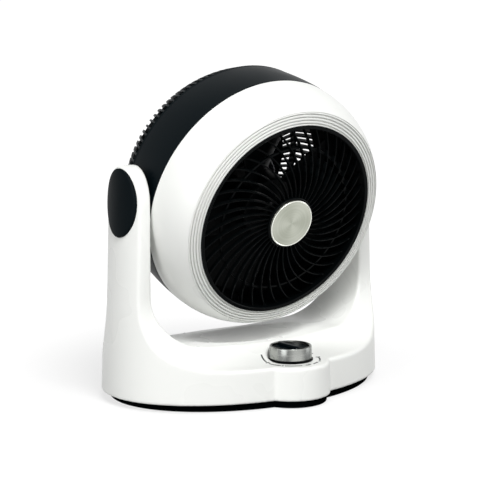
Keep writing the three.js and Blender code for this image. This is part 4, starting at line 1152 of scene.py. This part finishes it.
class FAN_OT_rear_grille(bpy.types.Operator):
    """Models the rear grille: ribs that wrap round the corner onto the back"""
    bl_idname = "fan.rear_grille"
    bl_label = "Rear grille"

    def execute(self, context):
        size = head_sizes()
        pairs = rear_rib_path()
        rib = unit_bar("rear_rib", len(pairs) - 1)
        reshape(rib, lambda co: self.on_path(co, pairs))
        outward(rib)
        ribs = spun_copies(rib, size.rear_ribs)
        outer = collar_radius()
        start = -size.band_rear - GAP
        rear = -size.rear_face + 0.0006
        rail = rear_slope(rear, 0) - 0.0025
        ring = turned("ring", [(rail - 0.0022, rear), (rail - 0.0004, rear),
                               (rail, rear + 0.0004), (rail, rear + 0.008),
                               (rail - 0.0022, rear + 0.008)], 160)
        collar = turned("collar", [(outer - 0.0043, start - 0.0025),
                                   (outer - 0.0004, start - 0.0025), (outer, start - 0.0021),
                                   (outer, start - 0.0002), (outer - 0.0002, start),
                                   (outer - 0.0032, start), (outer - 0.0032, start + 0.005),
                                   (outer - 0.0043, start + 0.005)], 160)
        face = -size.rear_face
        plate = turned("plate", [(0, face), (size.plate - 0.004, face),
                                 (size.plate - 0.0008, face + 0.0004),
                                 (size.plate, face + 0.0012), (size.plate, face + 0.004),
                                 (0, face + 0.004)], 128)
        joined_piece(HEAD, "rear_grille_look", [ribs, ring, collar, plate], "head",
                     dark_plastic(), ["rear_grille"], "dark_plastic", 30)
        return {"FINISHED"}

    def on_path(self, co, pairs):
        """Lays a straight unit bar on edge between the outer and inner points"""
        outer, inner = pairs[round(co.x * (len(pairs) - 1))]
        radius, forward = outer if co.z > 0 else inner
        return Vector((radius, co.y * (0.0021 if co.z > 0 else 0.0022), forward))


class FAN_OT_impeller(bpy.types.Operator):
    """Models the impeller, its nut and the duct round it"""
    bl_idname = "fan.impeller"
    bl_label = "Impeller"

    def execute(self, context):
        size = head_sizes()
        deselect()
        bpy.ops.mesh.primitive_grid_add(x_subdivisions=18, y_subdivisions=20, size=1)
        blade = new_piece("blade")
        reshape(blade, self.on_blade)
        apply_modifier(blade, "SOLIDIFY", thickness=0.0022, offset=0)
        bevel(blade, 0.0007, 2)
        blades = spun_copies(blade, size.blades)
        hub = turned("hub", [(0.0043, 0.034), (0.010, 0.034), (0.010, 0.0436),
                             (0.0296, 0.0436), (0.0296, 0.004), (0.032, 0.004), (0.032, 0.041),
                             (0.0305, 0.0445), (0.027, 0.046), (0.0043, 0.046)], 96)
        joined_piece(HEAD, "impeller_look", [blades, hub], "rotor", black_plastic(),
                     ["impeller"], "black_plastic", 40)
        nut = [(0.0043, 0.0463), (0.012, 0.0463), (0.0115, 0.0495), (0.0095, 0.0525),
               (0.006, 0.0545), (0.002, 0.0553), (0, 0.0553), (0, 0.0508), (0.0043, 0.0508)]
        turned_piece(HEAD, "nut_look", nut, 64, "rotor", black_plastic(), ["impeller_spinner"],
                     "black_plastic")
        inner, outer, flange = size.duct, size.duct + 0.0022, size.duct + 0.0075
        duct = [(inner, -0.0195), (inner + 0.0005, -0.020), (outer, -0.020), (outer, 0.0635),
                (flange, 0.0635), (flange, 0.0657), (inner, 0.0657)]
        turned_piece(HEAD, "duct_look", duct, 160, "head", black_plastic(), ["air_duct"],
                     "black_plastic")
        return {"FINISHED"}

    def on_blade(self, co):
        """Lays a flat grid on the twisted, hollow form of a blade"""
        share, across = co.x + 0.5, 2 * co.y
        radius = between(0.0308, head_sizes().blade_tip, share)
        chord = between(0.052, 0.110, share)
        pitch = math.radians(between(35, 19, share))
        sweep = math.radians(between(30, 20, share))
        camber = 0.08 * chord * (1 - across * across)
        run = across * chord / 2
        angle = sweep + (run * math.cos(pitch) - camber * math.sin(pitch)) / radius
        forward = 0.025 + run * math.sin(pitch) + camber * math.cos(pitch)
        return Vector((radius * math.cos(angle), radius * math.sin(angle), forward))


class FAN_OT_motor(bpy.types.Operator):
    """Models the motor's casing, and gives the hidden parts their finish"""
    bl_idname = "fan.motor"
    bl_label = "Motor and inner parts"

    def execute(self, context):
        steel = plain_metal("motor_steel", (0.36, 0.37, 0.38), 0.38)
        self.cover("motor_rear_cover", -0.0577, -0.0312, 1, steel)
        self.cover("motor_front_cover", -0.004, -0.0309, -1, steel)
        grey = plastic("grey_plastic", (0.12, 0.13, 0.13), 0.5, 0.62, 1500, 0.1)
        copper = plain_metal("winding_copper", (0.55, 0.24, 0.11), 0.35)
        bronze = plain_metal("bearing_bronze", (0.45, 0.28, 0.12), 0.4)
        finishes = {
            steel: ("motor_stator", "motor_rotor", "motor_shaft"),
            grey: ("rotary_switch", "run_capacitor", "friction_washer_left",
                   "friction_washer_right"),
            copper: ("winding_rear", "winding_front"),
            bronze: ("bearing_rear", "bearing_front"),
            screw_steel(): ("switch_nut", "switch_spindle", "pivot_bolt_left",
                            "pivot_bolt_right"),
        }
        for material, nodes in finishes.items():
            for node in nodes:
                piece = frame["nodes"][node]
                piece.data.materials.clear()
                piece.data.materials.append(material)
        return {"FINISHED"}

    def cover(self, node, end, split, sign, material):
        """A pressed cup with a rounded edge and a neck for the bearing"""
        profile = [(0.0093, end), (0.0115, end), (0.0125, end + sign * 0.0008),
                   (0.016, end + sign * 0.0008), (0.039, end + sign * 0.0004)]
        profile += [(0.039 + 0.004 * math.sin(a), end + sign * (0.0044 - 0.004 * math.cos(a)))
                    for a in (0.4, 0.8, 1.2, 1.57)]
        profile += [(0.043, split), (0.041, split), (0.041, end + sign * 0.005),
                    (0.038, end + sign * 0.0022), (0.0113, end + sign * 0.0022),
                    (0.0113, end + sign * 0.010), (0.0093, end + sign * 0.010)]
        turned_piece(HEAD, node + "_look", profile, 96, "head", material, [node], "motor_steel")


# ---------------------------------------------------------------------------------------------
# Stage

class FAN_OT_stage(bpy.types.Operator):
    """Sets the floor, the light, the background and the camera"""
    bl_idname = "fan.stage"
    bl_label = "Stage"

    def execute(self, context):
        self.floor()
        self.world(context.scene)
        self.lamp("key_light", (-0.5, -1.65, 2.15), 1.3, 67)
        self.lamp("left_light", (-2.3, -0.75, 0.7), 1.2, 27)
        self.lamp("right_light", (2.2, -0.9, 0.5), 1.2, 12)
        self.camera(context.scene)
        context.scene.view_settings.view_transform = "Standard"
        return {"FINISHED"}

    def floor(self):
        deselect()
        bpy.ops.mesh.primitive_plane_add(size=40, location=(0, 0, -0.0002))
        floor = new_piece("floor")
        material, shader = new_material("floor_white", (0.30, 0.30, 0.30), 0.9, specular=0)
        tree = material.node_tree
        away = maths(tree, "LENGTH", add_node(tree, "TexCoord")["Object"], kind="VectorMath")
        fade = add_node(tree, "MapRange", Value=away, From_Min=0.15, From_Max=0.6, To_Min=0.70,
                        To_Max=1.0)
        glow = maths(tree, "MULTIPLY", self.seen_mask(tree), fade["Result"])
        feed(tree, shader, Emission_Color=(*palette().backdrop, 1), Emission_Strength=glow)
        floor.data.materials.append(material)

    def seen_mask(self, tree):
        """1 for rays from the camera, a mirror or glass"""
        path = add_node(tree, "LightPath")
        seen = maths(tree, "MAXIMUM", path["Is Camera Ray"], path["Is Glossy Ray"])
        return maths(tree, "MAXIMUM", seen, path["Is Transmission Ray"])

    def world(self, scene):
        """White where it is seen, and a faint light from all sides"""
        world = bpy.data.worlds.new("studio")
        scene.world = world
        world.use_nodes = True
        tree = world.node_tree
        level = add_node(tree, "MapRange", Value=self.seen_mask(tree), To_Min=0.13, To_Max=1.0)
        feed(tree, tree.nodes["Background"], Color=(*palette().backdrop, 1),
             Strength=level["Result"])

    def lamp(self, name, location, size, power):
        data = bpy.data.lights.new(name, "AREA")
        data.energy = power
        data.size = size
        lamp = bpy.data.objects.new(name, data)
        bpy.context.scene.collection.objects.link(lamp)
        lamp.location = location
        aim = Vector((0, 0, 0.15)) - Vector(location)
        lamp.rotation_euler = aim.to_track_quat("-Z", "Y").to_euler()

    def camera(self, scene):
        azimuth, elevation, distance = math.radians(-35.5), math.radians(9.71), 1.95
        target = Vector((0, 0.01065, 0.1505))
        back = Vector((math.sin(azimuth) * math.cos(elevation),
                       -math.cos(azimuth) * math.cos(elevation), math.sin(elevation)))
        data = bpy.data.cameras.new("camera")
        data.lens = 142.5
        data.sensor_width = 36
        camera = bpy.data.objects.new("camera", data)
        scene.collection.objects.link(camera)
        camera.location = target + back * distance
        camera.rotation_euler = (-back).to_track_quat("-Z", "Y").to_euler()
        scene.camera = camera


class FAN_PT_panel(bpy.types.Panel):
    """Lists the fan's sizes, colours and pieces"""
    bl_idname = "FAN_PT_panel"
    bl_label = "Air circulator fan"
    bl_space_type = "VIEW_3D"
    bl_region_type = "UI"
    bl_category = "Fan"

    def draw(self, context):
        scene = context.scene
        for settings in (scene.fan_base, scene.fan_head, scene.fan_colours):
            box = self.layout.box()
            for key in settings.__annotations__:
                box.prop(settings, key)
        for operator in PIECES:
            self.layout.operator(operator.bl_idname)


PIECES = (
    FAN_OT_stage, FAN_OT_base_housing, FAN_OT_base_cover, FAN_OT_screws, FAN_OT_side_caps,
    FAN_OT_speed_knob, FAN_OT_inlet_sleeve, FAN_OT_shells, FAN_OT_front_ring,
    FAN_OT_front_grille, FAN_OT_rear_grille, FAN_OT_impeller, FAN_OT_motor,
)
SETTINGS = (FanBaseSizes, FanHeadSizes, FanColours)


def register():
    for kind in SETTINGS + PIECES + (FAN_PT_panel,):
        bpy.utils.register_class(kind)
    scene = bpy.types.Scene
    scene.fan_base = bpy.props.PointerProperty(type=FanBaseSizes)
    scene.fan_head = bpy.props.PointerProperty(type=FanHeadSizes)
    scene.fan_colours = bpy.props.PointerProperty(type=FanColours)


def unregister():
    for name in ("fan_base", "fan_head", "fan_colours"):
        delattr(bpy.types.Scene, name)
    for kind in reversed(SETTINGS + PIECES + (FAN_PT_panel,)):
        bpy.utils.unregister_class(kind)


def main():
    register()
    for operator in PIECES:
        family, name = operator.bl_idname.split(".")
        getattr(getattr(bpy.ops, family), name)()


if __name__ == "__main__":
    main()
